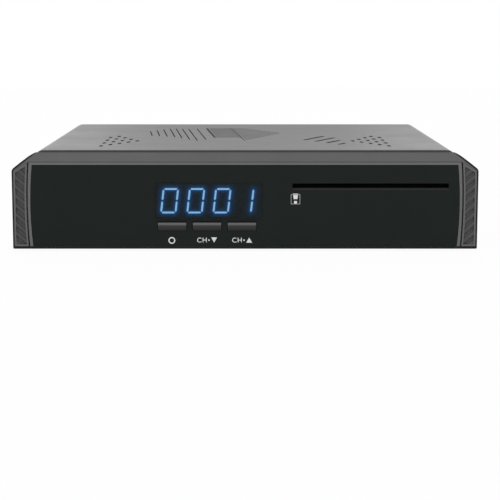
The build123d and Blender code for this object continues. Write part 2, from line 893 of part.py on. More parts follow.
def card_reader_lid():
    """The reader's sheet-metal lid, with a window over the contacts."""
    left, right = slot_x - reader_width / 2, slot_x + reader_width / 2
    low = channel_floor + channel_height
    lid = block(left, right, reader_front, reader_end, low, low + reader_lid)
    middle = (reader_front + reader_end) / 2
    window = Pos(slot_x, middle) * Rectangle(reader_window_width, reader_window_depth)
    lid -= top_view(window, low, low + reader_lid)
    for x, y in reader_screw_places():
        lid -= rod_z(x, y, small_screw_radius + screw_gap, low, low + reader_lid)
    return lid


def card_contacts():
    """Eight spring contacts in two rows on the floor of the channel."""
    contacts = []
    middle = reader_front + channel_depth - contact_set_back
    for row in (-1, 1):
        y = middle + row * contact_row_gap / 2
        for i in range(4):
            x = slot_x + (i - 1.5) * contact_pitch
            profile = [(y - contact_length / 2, channel_floor),
                       (y - contact_length / 6, channel_floor + contact_rise),
                       (y + contact_length / 6, channel_floor + contact_rise),
                       (y + contact_length / 2, channel_floor)]
            contacts.append(side_view(make_face(Polyline(*profile, close=True)),
                                      x - contact_width / 2, x + contact_width / 2))
    return contacts


def card_board():
    left, right = slot_x - reader_width / 2, slot_x + reader_width / 2
    board = block(left, right, main_board_front, reader_end + card_board_gap, card_board_under, reader_under)
    for x, y in reader_screw_places():
        board -= rod_z(x, y, small_screw_radius + screw_gap, card_board_under, reader_under)
    return board


def reader_screws():
    """Four small screws that hold the lid, bed and board of the reader to the spacers."""
    small = Rot(180, 0, 0) * screw(small_screw_head_radius, small_screw_head_height, small_screw_radius,
                                   channel_height + reader_floor + board_thickness + reader_lid + spacer_grip)
    top = channel_floor + channel_height + reader_lid
    return [Pos(x, y, top) * small for x, y in reader_screw_places()]


def reader_spacers():
    """Posts between the main board and the reader's board."""
    bore = small_screw_radius + screw_gap
    depth = spacer_grip + screw_gap
    return [rod_z(x, y, spacer_radius, board_top, card_board_under)
            - rod_z(x, y, bore, card_board_under - depth, card_board_under)
            for x, y in reader_screw_places()]


def card_header():
    """The tall plug that joins the reader's board to the main board."""
    y = reader_end
    return block(slot_x - tall_header_length / 2, slot_x + tall_header_length / 2,
                 y - tall_header_width / 2, y + tall_header_width / 2, board_top, card_board_under)


def board_screw_places():
    return [(side * board_screw_x, y) for side in (-1, 1) for y in (board_screw_front_y, board_screw_back_y)]


def main_board():
    """The main circuit board, notched round the case's screw bosses."""
    board = block(-main_board_half, main_board_half, main_board_front, main_board_back,
                  board_under, board_top)
    for x, y in board_screw_places():
        board -= rod_z(x, y, screw_radius + screw_gap, board_under, board_top)
    for x, y in post_places():
        board -= rod_z(x, y, post_boss_radius + board_notch_gap, board_under, board_top)
    return board


def on_board(x, y, width, length, height):
    """A block that stands on the main board, centred on a place."""
    return block(x - width / 2, x + width / 2, y - length / 2, y + length / 2, board_top, board_top + height)


def heat_sink():
    """A finned sink on the processor."""
    base = board_top + processor_thickness
    half = sink_size / 2
    sink = block(processor_x - half, processor_x + half, processor_y - half, processor_y + half,
                 base, base + sink_base)
    pitch = (sink_size - fin_thickness) / (sink_fins - 1)
    fins = []
    for i in range(sink_fins):
        left = processor_x - half + i * pitch
        fins.append(block(left, left + fin_thickness, processor_y - half, processor_y + half,
                          base + sink_base, base + sink_base + fin_height))
    return sink.fuse(*fins)


def memory_chips():
    return [on_board(processor_x + side * memory_pitch / 2, memory_y, memory_width, memory_length,
                     memory_thickness) for side in (-1, 1)]


def capacitors():
    """Cans with the groove that their sleeve makes near the foot."""
    cans = []
    for x in capacitor_xs:
        for y in capacitor_ys:
            can = rod_z(x, y, capacitor_radius, board_top, board_top + capacitor_height)
            groove = board_top + 3 * capacitor_groove
            ring = rod_z(x, y, capacitor_radius, groove, groove + capacitor_groove)
            can -= ring - rod_z(x, y, capacitor_radius - capacitor_groove, groove, groove + capacitor_groove)
            cans.append(can)
    return cans


def coils():
    """Shielded coils: a square frame round a low drum."""
    return [on_board(x, coil_y, coil_size, coil_size, coil_height)
            - (rod_z(x, coil_y, coil_radius + coil_gap, board_top + coil_floor, board_top + coil_height)
               - rod_z(x, coil_y, coil_radius, board_top + coil_floor, board_top + coil_height))
            for x in coil_xs]


def crystal():
    outline = Pos(crystal_x, crystal_y) * SlotOverall(crystal_length, crystal_width)
    return top_view(outline, board_top, board_top + crystal_height)


def regulator():
    """A three-legged power regulator lying on its tab."""
    body = on_board(regulator_x, regulator_y, regulator_width, regulator_length, regulator_height)
    tab_y = regulator_y + regulator_length / 2
    tab = block(regulator_x - regulator_width / 2, regulator_x + regulator_width / 2,
                tab_y, tab_y + regulator_tab, board_top, board_top + regulator_tab_thickness)
    legs = [block(regulator_x + i * regulator_leg_pitch - regulator_leg / 2,
                  regulator_x + i * regulator_leg_pitch + regulator_leg / 2,
                  regulator_y - regulator_length / 2 - regulator_tab,
                  regulator_y - regulator_length / 2, board_top, board_top + regulator_leg)
            for i in (-1, 0, 1)]
    return body.fuse(tab, *legs)


def aerial_xs():
    return [tuner_x + side * aerial_pitch / 2 for side in (-1, 1)]


def tuner_can():
    """The tuner's screening can: four walls and a partition, open at the top under its lid."""
    back = main_board_back - aerial_base
    front = back - tuner_depth
    left, right = tuner_x - tuner_width / 2, tuner_x + tuner_width / 2
    top = board_top + tuner_height
    can = block(left, right, front, back, board_top, top)
    can -= block(left + tuner_wall, right - tuner_wall, front + tuner_wall, back - tuner_wall,
                 board_top, top)
    can += block(left + tuner_wall / 2, right - tuner_wall / 2, front + tuner_partition,
                 front + tuner_partition + tuner_wall, board_top, top)
    return can


def tuner_lid():
    """A shallow cap with a skirt outside the can's walls."""
    back = main_board_back - aerial_base
    front = back - tuner_depth
    left, right = tuner_x - tuner_width / 2, tuner_x + tuner_width / 2
    top = board_top + tuner_height
    lid = block(left - lid_overhang, right + lid_overhang, front - lid_overhang, back,
                top - tuner_lid_skirt, top + tuner_lid_thickness)
    return lid - block(left - tuner_lid_gap, right + tuner_lid_gap, front - tuner_lid_gap, back,
                       top - tuner_lid_skirt, top)


def aerial_sockets():
    """Two barrels, full size where a plug screws on, with a flange on the can and a blind bore."""
    sockets = []
    for x in aerial_xs():
        flange = rod_y(x, aerial_z, aerial_base_radius, main_board_back - aerial_base, main_board_back)
        barrel = rod_y(x, aerial_z, aerial_shank_radius, main_board_back, aerial_thread_start)
        barrel += rod_y(x, aerial_z, aerial_radius, aerial_thread_start, aerial_tip)
        sockets.append(flange + barrel - rod_y(x, aerial_z, aerial_bore, main_board_back, aerial_tip))
    return sockets


def aerial_cores():
    """The white insulators, each with the hole for the cable's centre wire."""
    end = aerial_tip - aerial_core_sink
    return [rod_y(x, aerial_z, aerial_bore - core_gap, main_board_back, end)
            - rod_y(x, aerial_z, aerial_pin_hole, main_board_back, end) for x in aerial_xs()]


def aerial_washers():
    end = rear_face + washer_thickness
    return [rod_y(x, aerial_z, washer_radius, rear_face, end)
            - rod_y(x, aerial_z, aerial_radius + washer_gap, rear_face, end) for x in aerial_xs()]


def aerial_nuts():
    start = rear_face + washer_thickness
    end = start + nut_thickness
    hexagon = RegularPolygon(nut_across_flats / 2, 6, major_radius=False)
    return [front_view(Pos(x, aerial_z) * hexagon, start, end)
            - rod_y(x, aerial_z, aerial_radius + washer_gap, start, end) for x in aerial_xs()]


def socket_outline(x, width, height, corner, inset):
    """A socket from behind, standing on the main board, with its two lower corners cut off."""
    left, right = x - width / 2 + inset, x + width / 2 - inset
    low, high = board_top + inset, board_top + height - inset
    cut = corner - inset * (2 - 2 ** 0.5) if corner > 0 else 0
    points = [(left + cut, low), (right - cut, low), (right, low + cut), (right, high), (left, high),
              (left, low + cut)]
    if corner == 0:
        points = [(left, low), (right, low), (right, high), (left, high)]
    return make_face(Polyline(*points, close=True))


def socket_shell(x, width, height, corner, thickness, depth):
    """A folded metal shell, open at both ends, that looks out through the rear panel."""
    end = rear_face + socket_proud
    ring = socket_outline(x, width, height, corner, 0) - socket_outline(x, width, height, corner, thickness)
    return front_view(ring, end - depth, end)


def tongue_core(x, width, height, corner, depth, tongue_width, tongue_thickness, offset):
    """The plastic inside a shell: a back plate and the tongue that carries the contacts."""
    end = rear_face + socket_proud
    plate = front_view(socket_outline(x, width, height, corner, socket_wall), end - depth,
                       end - depth + socket_floor)
    z = board_top + height / 2 + offset
    tongue = block(x - tongue_width / 2, x + tongue_width / 2, end - depth, end - tongue_back,
                   z - tongue_thickness / 2, z + tongue_thickness / 2)
    return plate + tongue


def av_outline(inset):
    """The 21-pin socket from behind: a long box with one lower corner cut off."""
    left, right = av_x - av_width / 2 + inset, av_x + av_width / 2 - inset
    low, high = board_top + inset, board_top + av_height - inset
    cut = av_cut - inset * (2 - 2 ** 0.5)
    return make_face(Polyline((left, low), (right - cut, low), (right, low + cut), (right, high),
                              (left, high), close=True))


def av_core():
    """The 21-pin socket's plastic: a floor and a block with two rows of contact slots."""
    end = rear_face + av_proud
    start = end - av_depth
    floor = front_view(av_outline(av_wall), start, start + av_floor)
    core = floor + front_view(av_outline(av_wall + av_core_gap), start + av_floor, end - tongue_back)
    z = board_top + av_height / 2
    slots = []
    for row, count in enumerate(av_contact_rows):
        for i in range(count):
            x = av_x + (i - (count - 1) / 2 + (row - 0.5) / 2) * av_contact_pitch
            row_z = z + (row - 0.5) * av_row_pitch
            slots.append(block(x - av_contact_width / 2, x + av_contact_width / 2,
                               end - tongue_back - av_contact_depth, end,
                               row_z - av_contact_height / 2, row_z + av_contact_height / 2))
    return core.cut(*slots)


def audio_body():
    """The digital audio socket's block on the board, with its insulated core."""
    z = board_top + audio_axis_height
    body = on_board(audio_x, main_board_back - audio_body_depth / 2, audio_body_width, audio_body_depth,
                    audio_body_height)
    end = rear_face + audio_reach
    core = rod_y(audio_x, z, audio_core_radius, main_board_back, end - tongue_back)
    return body + core - rod_y(audio_x, z, audio_hole_radius, main_board_back, end - tongue_back)


def audio_barrel():
    """The metal ring of the digital audio socket, full size where a plug slides on."""
    z = board_top + audio_axis_height
    end = rear_face + audio_reach
    ring = rod_y(audio_x, z, audio_radius, audio_ring_start, end)
    ring += rod_y(audio_x, z, audio_shank_radius, main_board_back, audio_ring_start)
    return ring - rod_y(audio_x, z, audio_core_radius + core_gap, main_board_back, end)


def remote_jack():
    """A 3.5 mm jack with a round collar through the rear panel."""
    z = board_top + remote_body_height / 2
    body = on_board(remote_x, main_board_back - remote_body_depth / 2, remote_body_width,
                    remote_body_depth, remote_body_height)
    end = rear_face + remote_collar_reach
    body += rod_y(remote_x, z, remote_collar_radius, main_board_back, end)
    return body - rod_y(remote_x, z, remote_bore, end - remote_bore_depth, end)


def power_end():
    return rear_face + socket_proud


def power_inlet():
    """The inlet for the 12 V supply: a block with a round mouth."""
    end = power_end()
    z = board_top + power_axis_height
    body = block(power_x - power_body_width / 2, power_x + power_body_width / 2, end - power_body_depth, end,
                 board_top, board_top + power_body_height)
    return body - rod_y(power_x, z, power_bore, end - power_bore_depth, end)


def power_pin():
    """The centre pin of the inlet, with a rounded tip."""
    end = power_end()
    z = board_top + power_axis_height
    tip = end - power_pin_back - power_pin_radius
    return rod_y(power_x, z, power_pin_radius, end - power_bore_depth, tip) + (
        Pos(power_x, tip, z) * Sphere(power_pin_radius))


def rear_panel():
    """The plate behind the case, with an opening for each socket."""
    plate = front_view(cover_outline(wall + rear_gap), rear_panel_y, rear_face)
    holes = [rod_y(x, aerial_z, aerial_radius + hole_gap, rear_panel_y, rear_face) for x in aerial_xs()]
    holes.append(front_view(av_outline(-hole_gap), rear_panel_y, rear_face))
    holes.append(front_view(socket_outline(video_x, video_width, video_height, video_corner, -hole_gap),
                            rear_panel_y, rear_face))
    holes.append(front_view(socket_outline(data_x, data_width, data_height, 0, -hole_gap),
                            rear_panel_y, rear_face))
    holes.append(rod_y(audio_x, board_top + audio_axis_height, audio_radius + hole_gap,
                       rear_panel_y, rear_face))
    holes.append(rod_y(remote_x, board_top + remote_body_height / 2, remote_collar_radius + hole_gap,
                       rear_panel_y, rear_face))
    holes.append(front_view(socket_outline(power_x, power_body_width, power_body_height, 0, -hole_gap),
                            rear_panel_y, rear_face))
    for side in (-1, 1):
        holes.append(rod_y(side * rear_screw_x, rear_screw_z, screw_radius + screw_gap,
                           rear_panel_y, rear_face))
    return plate.cut(*holes)


def rubber_feet():
    """Four round feet with a bevelled lower edge."""
    foot = Cylinder(foot_radius, foot_height, align=(Align.CENTER, Align.CENTER, Align.MAX))
    foot = chamfer(foot.edges().sort_by(Axis.Z)[0], foot_edge)
    return [Pos(side * foot_x, y, 0) * foot for side in (-1, 1) for y in (foot_front_y, foot_back_y)]


def case_screws():
    one = screw(screw_head_radius, screw_head_height, screw_radius, case_screw_length)
    return [Pos(x, y, case_screw_seat) * one for x, y in post_places()]


def main_board_screws():
    one = Rot(180, 0, 0) * screw(screw_head_radius, screw_head_height, screw_radius, board_screw_length)
    return [Pos(x, y, board_top) * one for x, y in board_screw_places()]


def rear_screws():
    one = Rot(90, 0, 0) * screw(screw_head_radius, screw_head_height, screw_radius, rear_screw_length)
    return [Pos(side * rear_screw_x, rear_face, rear_screw_z) * one for side in (-1, 1)]


mid_depth = (key(key_xs[0]).bounding_box().min.Y + aerial_tip) / 2
lit_bars, dark_bars = display_segments()
right_cheek = cheek()

save("top_cover", top_cover())
save("bottom_tray", bottom_tray())
save("front_bezel", front_bezel())
save("fascia_panel", fascia_panel())
save("cheek_right", right_cheek)
save("cheek_left", mirror(right_cheek, about=Plane.YZ))
save("display_window", display_window())
save("display_module", display_module(lit_bars + dark_bars))
save("lit_segments", *lit_bars)
save("dark_segments", *dark_bars)
for key_name, key_x in zip(key_names, key_xs):
    save(f"{key_name}_key", key(key_x))
    save(f"{key_name}_plunger", plunger(key_x))
save("switch_bodies", *[switch_body(x) for x in key_xs])
save("front_board", front_board())
save("front_board_screws", *front_board_screws())
save("infrared_eye", infrared_eye())
save("board_header", board_header())
save("card_reader_base", card_reader_base())
save("card_reader_lid", card_reader_lid())
save("card_contacts", *card_contacts())
save("card_board", card_board())
save("card_header", card_header())
save("reader_screws", *reader_screws())
save("reader_spacers", *reader_spacers())
save("main_board", main_board())
save("main_board_screws", *main_board_screws())
save("processor", on_board(processor_x, processor_y, processor_size, processor_size, processor_thickness))
save("heat_sink", heat_sink())
save("memory_chips", *memory_chips())
save("capacitors", *capacitors())
save("coils", *coils())
save("crystal", crystal())
save("regulator", regulator())
save("tuner_can", tuner_can())
save("tuner_lid", tuner_lid())
save("aerial_sockets", *aerial_sockets())
save("aerial_cores", *aerial_cores())
save("aerial_washers", *aerial_washers())
save("aerial_nuts", *aerial_nuts())
save("av_shell", front_view(av_outline(0) - av_outline(av_wall), rear_face + av_proud - av_depth,
                            rear_face + av_proud))
save("av_core", av_core())
save("video_shell", socket_shell(video_x, video_width, video_height, video_corner, socket_wall,
                                 video_depth))
save("video_core", tongue_core(video_x, video_width, video_height, video_corner, video_depth,
                               video_tongue_width, video_tongue_thickness, 0))
save("data_shell", socket_shell(data_x, data_width, data_height, 0, socket_wall, data_depth))
save("data_core", tongue_core(data_x, data_width, data_height, 0, data_depth,
                              data_tongue_width, data_tongue_thickness, data_tongue_offset))
save("audio_body", audio_body())
save("audio_barrel", audio_barrel())
save("remote_jack", remote_jack())
save("power_inlet", power_inlet())
save("power_pin", power_pin())
save("rear_panel", rear_panel())
save("rear_screws", *rear_screws())
save("rubber_feet", *rubber_feet())
save("case_screws", *case_screws())

print("places in the part's frame, in millimetres")
print("middle of the depth", round(mid_depth, 4))
for label, x, y, z in [
    ("aerial sockets' tips", tuner_x, aerial_tip, aerial_z),
    ("aerial socket's thread starts", aerial_xs()[0], aerial_thread_start, aerial_z),
    ("audio socket's tip", audio_x, rear_face + audio_reach, board_top + audio_axis_height),
    ("audio socket's ring starts", audio_x, audio_ring_start, board_top + audio_axis_height),
    ("remote jack's mouth", remote_x, rear_face + remote_collar_reach, board_top + remote_body_height / 2),
    ("power inlet's mouth", power_x, power_end(), board_top + power_axis_height),
    ("video socket's mouth", video_x, rear_face + socket_proud, board_top + video_height / 2),
    ("data socket's mouth", data_x, rear_face + socket_proud, board_top + data_height / 2),
    ("21-pin socket's mouth", av_x, rear_face + av_proud, board_top + av_height / 2),
    ("card slot's mouth", slot_x, fascia_recess, slot_z),
    ("a foot's middle", foot_x, foot_front_y, -foot_height),
]:
    print(f"{label}: {x:.3f} {y - mid_depth:.3f} {z + foot_height:.3f}")
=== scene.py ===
# %% [markdown]
# # A set-top satellite receiver, dressed for a product picture
# The CAD model already has the right shapes, so this script lends it finishes, adds the thin and
# small things that a CAD drawing leaves out, and sets up the studio.

from math import atan2, ceil, cos, exp, pi, radians, sin, tan

import bmesh
import bpy
from mathutils import Matrix, Vector
from mathutils.bvhtree import BVHTree


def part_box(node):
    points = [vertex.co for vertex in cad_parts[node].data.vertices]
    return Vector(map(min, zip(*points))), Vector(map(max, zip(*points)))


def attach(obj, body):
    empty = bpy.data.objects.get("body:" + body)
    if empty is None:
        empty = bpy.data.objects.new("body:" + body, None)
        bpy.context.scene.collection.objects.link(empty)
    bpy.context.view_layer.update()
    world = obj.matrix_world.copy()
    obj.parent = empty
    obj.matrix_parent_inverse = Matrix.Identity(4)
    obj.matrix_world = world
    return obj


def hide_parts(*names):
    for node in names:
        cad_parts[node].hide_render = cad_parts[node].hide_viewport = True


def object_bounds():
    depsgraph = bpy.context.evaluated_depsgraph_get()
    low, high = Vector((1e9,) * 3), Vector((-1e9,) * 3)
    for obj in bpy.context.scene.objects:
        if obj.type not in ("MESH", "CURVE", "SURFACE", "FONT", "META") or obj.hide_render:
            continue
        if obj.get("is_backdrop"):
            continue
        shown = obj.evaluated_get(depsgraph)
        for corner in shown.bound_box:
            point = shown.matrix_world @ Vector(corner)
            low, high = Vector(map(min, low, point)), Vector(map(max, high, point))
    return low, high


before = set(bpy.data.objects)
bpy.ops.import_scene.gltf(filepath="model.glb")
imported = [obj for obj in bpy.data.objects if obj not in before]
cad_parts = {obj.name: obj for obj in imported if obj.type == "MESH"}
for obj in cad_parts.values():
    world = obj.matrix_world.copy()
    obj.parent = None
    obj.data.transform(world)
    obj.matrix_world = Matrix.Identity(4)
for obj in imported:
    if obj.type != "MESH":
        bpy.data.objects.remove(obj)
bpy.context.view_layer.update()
MM = 0.001

# %% [markdown]
# The camera stands low and close in front of the receiver, as in the photograph: the front shows
# square on and the top runs back to a vanishing point above it. A camera that looks down would make
# the uprights lean, so most of the framing is done with a lens shift and little with a tilt.

# %% Place the camera
scene = bpy.context.scene
camera_data = bpy.data.cameras.new("Camera")
camera = bpy.data.objects.new("Camera", camera_data)
scene.collection.objects.link(camera)
CAMERA_TILT = 6.48
camera.location = (0.0, -0.5033, 0.090)
camera.rotation_euler = (radians(90 - CAMERA_TILT), 0.0, 0.0)
camera_data.sensor_width = 36.0
camera_data.lens = 82.96
camera_data.shift_x = 0.0099
camera_data.shift_y = -0.2003
scene.camera = camera
print("camera at", tuple(camera.location))


# %% [markdown]
# ## The studio
# A white surround stands behind everything that the camera sees, also through glass. As a light it is
# dimmer, so that colours render about as they are written. What gloss mirrors is white near the
# horizon and greyer overhead, as in a room with a dark ceiling. A grey panel far behind the middle is
# mirrored too: a surface seen almost along its length, like the receiver's top, is then pale at both
# ends and darker in between.

# %% Helpers for node trees
def add_node(tree, kind, **settings):
    node = tree.nodes.new(kind)
    for name, value in settings.items():
        setattr(node, name, value)
    return node


def calc(tree, operation, a, b=0.0):
    """A Math node on two values, each a number or another node's output."""
    node = add_node(tree, "ShaderNodeMath", operation=operation)
    for socket, value in zip(node.inputs, (a, b)):
        if isinstance(value, (int, float)):
            socket.default_value = value
        else:
            tree.links.new(value, socket)
    return node.outputs[0]


def ramp(tree, value, from_low, from_high, low, high, smooth=False):
    """A value brought from one range to another, held at both ends."""
    node = add_node(tree, "ShaderNodeMapRange")
    node.interpolation_type = "SMOOTHSTEP" if smooth else "LINEAR"
    for name, number in (("From Min", from_low), ("From Max", from_high), ("To Min", low), ("To Max", high)):
        node.inputs[name].default_value = number
    tree.links.new(value, node.inputs["Value"])
    return node.outputs["Result"]


def seen_as_white(tree):
    """1 for rays from the camera and through glass, and the light path's own outputs."""
    path = add_node(tree, "ShaderNodeLightPath")
    return calc(tree, "MAXIMUM", path.outputs["Is Camera Ray"], path.outputs["Is Transmission Ray"]), path


def object_axes(tree):
    """The piece's own X, Y and Z."""
    split = add_node(tree, "ShaderNodeSeparateXYZ")
    tree.links.new(add_node(tree, "ShaderNodeTexCoord").outputs["Object"], split.inputs[0])
    return split.outputs


print("node helpers ready")

# %% Build the surround
scene.view_settings.view_transform = "Standard"
world = bpy.data.worlds.new("Studio")
scene.world = world
world.use_nodes = True
tree = world.node_tree
white, path = seen_as_white(tree)
direction = add_node(tree, "ShaderNodeSeparateXYZ")
tree.links.new(add_node(tree, "ShaderNodeTexCoord").outputs["Generated"], direction.inputs[0])
PANEL_INNER, PANEL_OUTER, PANEL_GREY = 0.08, 0.17, 0.36
HORIZON_WHITE, CEILING_GREY, ROOM_LIGHT = 1.2, 0.45, 0.55
from_middle = calc(tree, "DIVIDE", calc(tree, "ABSOLUTE", direction.outputs["X"]),
                   calc(tree, "MAXIMUM", direction.outputs["Y"], 0.001))
panel = ramp(tree, from_middle, PANEL_INNER, PANEL_OUTER, PANEL_GREY, 1.0, smooth=True)
mirrored = calc(tree, "MULTIPLY", panel,
                ramp(tree, direction.outputs["Z"], 0.0, 0.9, HORIZON_WHITE, CEILING_GREY))
glossy = path.outputs["Is Glossy Ray"]
light = calc(tree, "ADD", calc(tree, "MULTIPLY", mirrored, glossy),
             calc(tree, "MULTIPLY", ROOM_LIGHT, calc(tree, "SUBTRACT", 1.0, glossy)))
surround = tree.nodes["Background"]
surround.inputs["Color"].default_value = (1.0, 1.0, 1.0, 1.0)
tree.links.new(calc(tree, "MAXIMUM", light, white), surround.inputs["Strength"])
print("world:", world.name)


# %% [markdown]
# The floor is white paper. Most of what the camera sees of it is a glow of its own, as paper lit
# from below has, and the rest is lit by the lamps, which keeps the receiver's shadow. It fades out
# at its rim, so no horizon line crosses the picture.

# %% Make a floor that fades at its rim
def material_nodes(name):
    """A new material with its node tree and its Principled shader."""
    material = bpy.data.materials.new(name)
    material.use_nodes = True
    return material, material.node_tree, material.node_tree.nodes["Principled BSDF"]


PAPER_GLOW, FADE_START, FADE_END, PAPER_RADIUS = 0.96, 0.45, 1.3, 1.35
floor_material, tree, shader = material_nodes("floor_paper")
shader.inputs["Base Color"].default_value = (0.9, 0.9, 0.9, 1.0)
shader.inputs["Roughness"].default_value = 0.9
white, path = seen_as_white(tree)
own_glow = calc(tree, "MULTIPLY", calc(tree, "MAXIMUM", white, path.outputs["Is Glossy Ray"]), PAPER_GLOW)
glow = add_node(tree, "ShaderNodeEmission")
lit_paper = add_node(tree, "ShaderNodeMixShader")
faded_paper = add_node(tree, "ShaderNodeMixShader")
length = add_node(tree, "ShaderNodeVectorMath", operation="LENGTH")
tree.links.new(add_node(tree, "ShaderNodeTexCoord").outputs["Object"], length.inputs[0])
tree.links.new(own_glow, lit_paper.inputs["Fac"])
tree.links.new(shader.outputs[0], lit_paper.inputs[1])
tree.links.new(glow.outputs[0], lit_paper.inputs[2])
fade = ramp(tree, length.outputs["Value"], FADE_START, FADE_END, 1.0, 0.0, smooth=True)
tree.links.new(fade, faded_paper.inputs["Fac"])
tree.links.new(add_node(tree, "ShaderNodeBsdfTransparent").outputs[0], faded_paper.inputs[1])
tree.links.new(lit_paper.outputs[0], faded_paper.inputs[2])
tree.links.new(faded_paper.outputs[0], tree.nodes["Material Output"].inputs["Surface"])

paper = bmesh.new()
bmesh.ops.create_circle(paper, cap_ends=True, segments=96, radius=PAPER_RADIUS)
floor_mesh = bpy.data.meshes.new("floor")
paper.to_mesh(floor_mesh)
paper.free()
floor_mesh.materials.append(floor_material)
floor = bpy.data.objects.new("floor", floor_mesh)
scene.collection.objects.link(floor)
floor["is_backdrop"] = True
print("floor of", len(floor_mesh.polygons), "face")


# %% [markdown]
# Two wide soft boxes light the part. The stronger one stands above the camera and gives the front,
# the keys' noses and the ribs their light. The other hangs behind, near enough that the back of the
# top gets more of it than the front, and it lights the sockets at the back too.

# %% Hang the soft boxes
def soft_box(name, place, target, size, power):
    lamp = bpy.data.lights.new(name, "AREA")
    lamp.shape = "SQUARE"
    lamp.size = size
    lamp.energy = power
    box = bpy.data.objects.new(name, lamp)
    box.location = place
    box.rotation_euler = (Vector(target) - Vector(place)).to_track_quat("-Z", "Y").to_euler()
    scene.collection.objects.link(box)


soft_box("key", (-0.3, -1.0, 1.2), (0.0, -0.05, 0.0), 1.2, 8.0)
soft_box("behind", (0.0, 0.52, 0.50), (0.0, 0.03, 0.03), 0.6, 1.25)


# %% [markdown]
# ## Finishes
# Moulded plastic is never one flat colour. The mould's spark-eroded skin breaks up the gloss, and
# the resin is slightly uneven. One helper makes that skin: a fine bump, a slow change of roughness
# and a faint change of colour, all read from the piece's own coordinates.

# %% A helper for textured finishes
def noise(tree, scale, detail=2.0, stretch=(1.0, 1.0, 1.0)):
    """Noise on the piece's own coordinates, as an output to link."""
    mapping = add_node(tree, "ShaderNodeMapping")
    mapping.inputs["Scale"].default_value = stretch
    texture = add_node(tree, "ShaderNodeTexNoise")
    texture.inputs["Scale"].default_value = scale
    texture.inputs["Detail"].default_value = detail
    tree.links.new(add_node(tree, "ShaderNodeTexCoord").outputs["Object"], mapping.inputs["Vector"])
    tree.links.new(mapping.outputs["Vector"], texture.inputs["Vector"])
    return texture.outputs["Fac"]


def mixed(tree, factor, a, b):
    """Two colours mixed by a value. Each is three numbers or another node's output."""
    mix = add_node(tree, "ShaderNodeMix", data_type="RGBA")
    tree.links.new(factor, mix.inputs["Factor"])
    for name, colour in (("A", a), ("B", b)):
        if isinstance(colour, tuple):
            mix.inputs[name].default_value = (*colour, 1.0)
        else:
            tree.links.new(colour, mix.inputs[name])
    return mix.outputs["Result"]


def uneven(tree, colour, change, scale=60.0):
    """A colour that noise makes slightly darker and lighter."""
    darker = tuple(c * (1 - change) for c in colour)
    lighter = tuple(min(c * (1 + change), 1.0) for c in colour)
    return mixed(tree, ramp(tree, noise(tree, scale), 0.3, 0.7, 0.0, 1.0), darker, lighter)


def add_bump(tree, shader, height, depth, strength=0.5):
    bump = add_node(tree, "ShaderNodeBump")
    bump.inputs["Strength"].default_value = strength
    bump.inputs["Distance"].default_value = depth
    tree.links.new(height, bump.inputs["Height"])
    tree.links.new(bump.outputs["Normal"], shader.inputs["Normal"])


def skin(tree, shader, roughness, grain, depth, gloss):
    """The mould's grain, its depth in millimetres, and the gloss that it leaves."""
    tree.links.new(ramp(tree, noise(tree, 45.0), 0.3, 0.7, roughness - 0.04, roughness + 0.04),
                   shader.inputs["Roughness"])
    add_bump(tree, shader, noise(tree, 1.0 / (grain * MM)), depth * MM)
    shader.inputs["Specular IOR Level"].default_value = gloss


def moulded(name, colour, roughness, grain=0.5, depth=0.02, gloss=0.5, change=0.06):
    material, tree, shader = material_nodes(name)
    tree.links.new(uneven(tree, colour, change), shader.inputs["Base Color"])
    skin(tree, shader, roughness, grain, depth, gloss)
    return material


def dress(material, *nodes):
    """Give CAD nodes a finish; their meshes stay as they are."""
    for node in nodes:
        slots = bpy.data.objects[node].material_slots
        if not slots:
            bpy.data.objects[node].data.materials.append(material)
        for slot in slots:
            slot.material = material


print("finish helpers ready")

# %% [markdown]
# The cover is mid-grey plastic. Seen almost along its surface, as the top is here, it mirrors the
# white room and looks much paler than it is from above. The real part does the same, so one darker
# colour serves, and Fresnel does the rest. Only a strip along its front edge, at the seam, is painted
# darker as the seam's shadow line, a painted shade, and made rougher. The tray below is the same plastic in
# black.

# %% Dress the case
SEAM_SHADE_DEPTH, EDGE_ROUGHNESS = 1.6, 0.8
cover_material, tree, shader = material_nodes("grey_cover")
# Painted shade: a strip along the cover's front edge is coloured darker for the seam's shadow line.
seam_shade_mask = calc(tree, "LESS_THAN", object_axes(tree)[1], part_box("top_cover")[0][1] + SEAM_SHADE_DEPTH * MM)
grey_resin = uneven(tree, (0.124, 0.124, 0.125), 0.02, 25.0)
tree.links.new(mixed(tree, seam_shade_mask, grey_resin, (0.06, 0.06, 0.061)), shader.inputs["Base Color"])
skin(tree, shader, roughness=0.40, grain=0.45, depth=0.008, gloss=0.52)
satin = ramp(tree, noise(tree, 45.0), 0.3, 0.7, 0.36, 0.44)
tree.links.new(calc(tree, "MAXIMUM", satin, calc(tree, "MULTIPLY", seam_shade_mask, EDGE_ROUGHNESS)),
               shader.inputs["Roughness"])
dress(cover_material, "top_cover")
dress(moulded("black_tray", (0.03, 0.03, 0.032), 0.5, grain=0.45, depth=0.015), "bottom_tray")
dress(moulded("foot_rubber", (0.02, 0.02, 0.021), 0.8, grain=0.3, depth=0.02, gloss=0.3), "rubber_feet")

# %% [markdown]
# The front frame carries three colours. Its sloped band is charcoal like the cover. Its outer
# shoulders, sides and foot are painted black, a painted dark reflection along its outer edges, and
# the narrow ring round the fascia is painted paler, a painted highlight. Each zone is a mask: a test
# on the frame's own coordinates, against planes that the drawing gives. The cheeks' rims are painted
# paler in the same way, a painted highlight where they stand a little in front of the ribs.

# %% Dress the front frame in three finishes
HALF_WIDTH, SHOULDER_Z, SHOULDER_ANGLE = 90.0, 32.4, radians(38.0)
DARK_RIM_WIDTH, DARK_RIM_BLUR, DARK_RIM_FOOT = 0.7, 0.1, 2.35
front_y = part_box("front_bezel")[0][1]
RING_TOP, RING_SIDE, RING_FOOT, RING_DEPTH = 35.15, 84.2, 2.7, 0.3

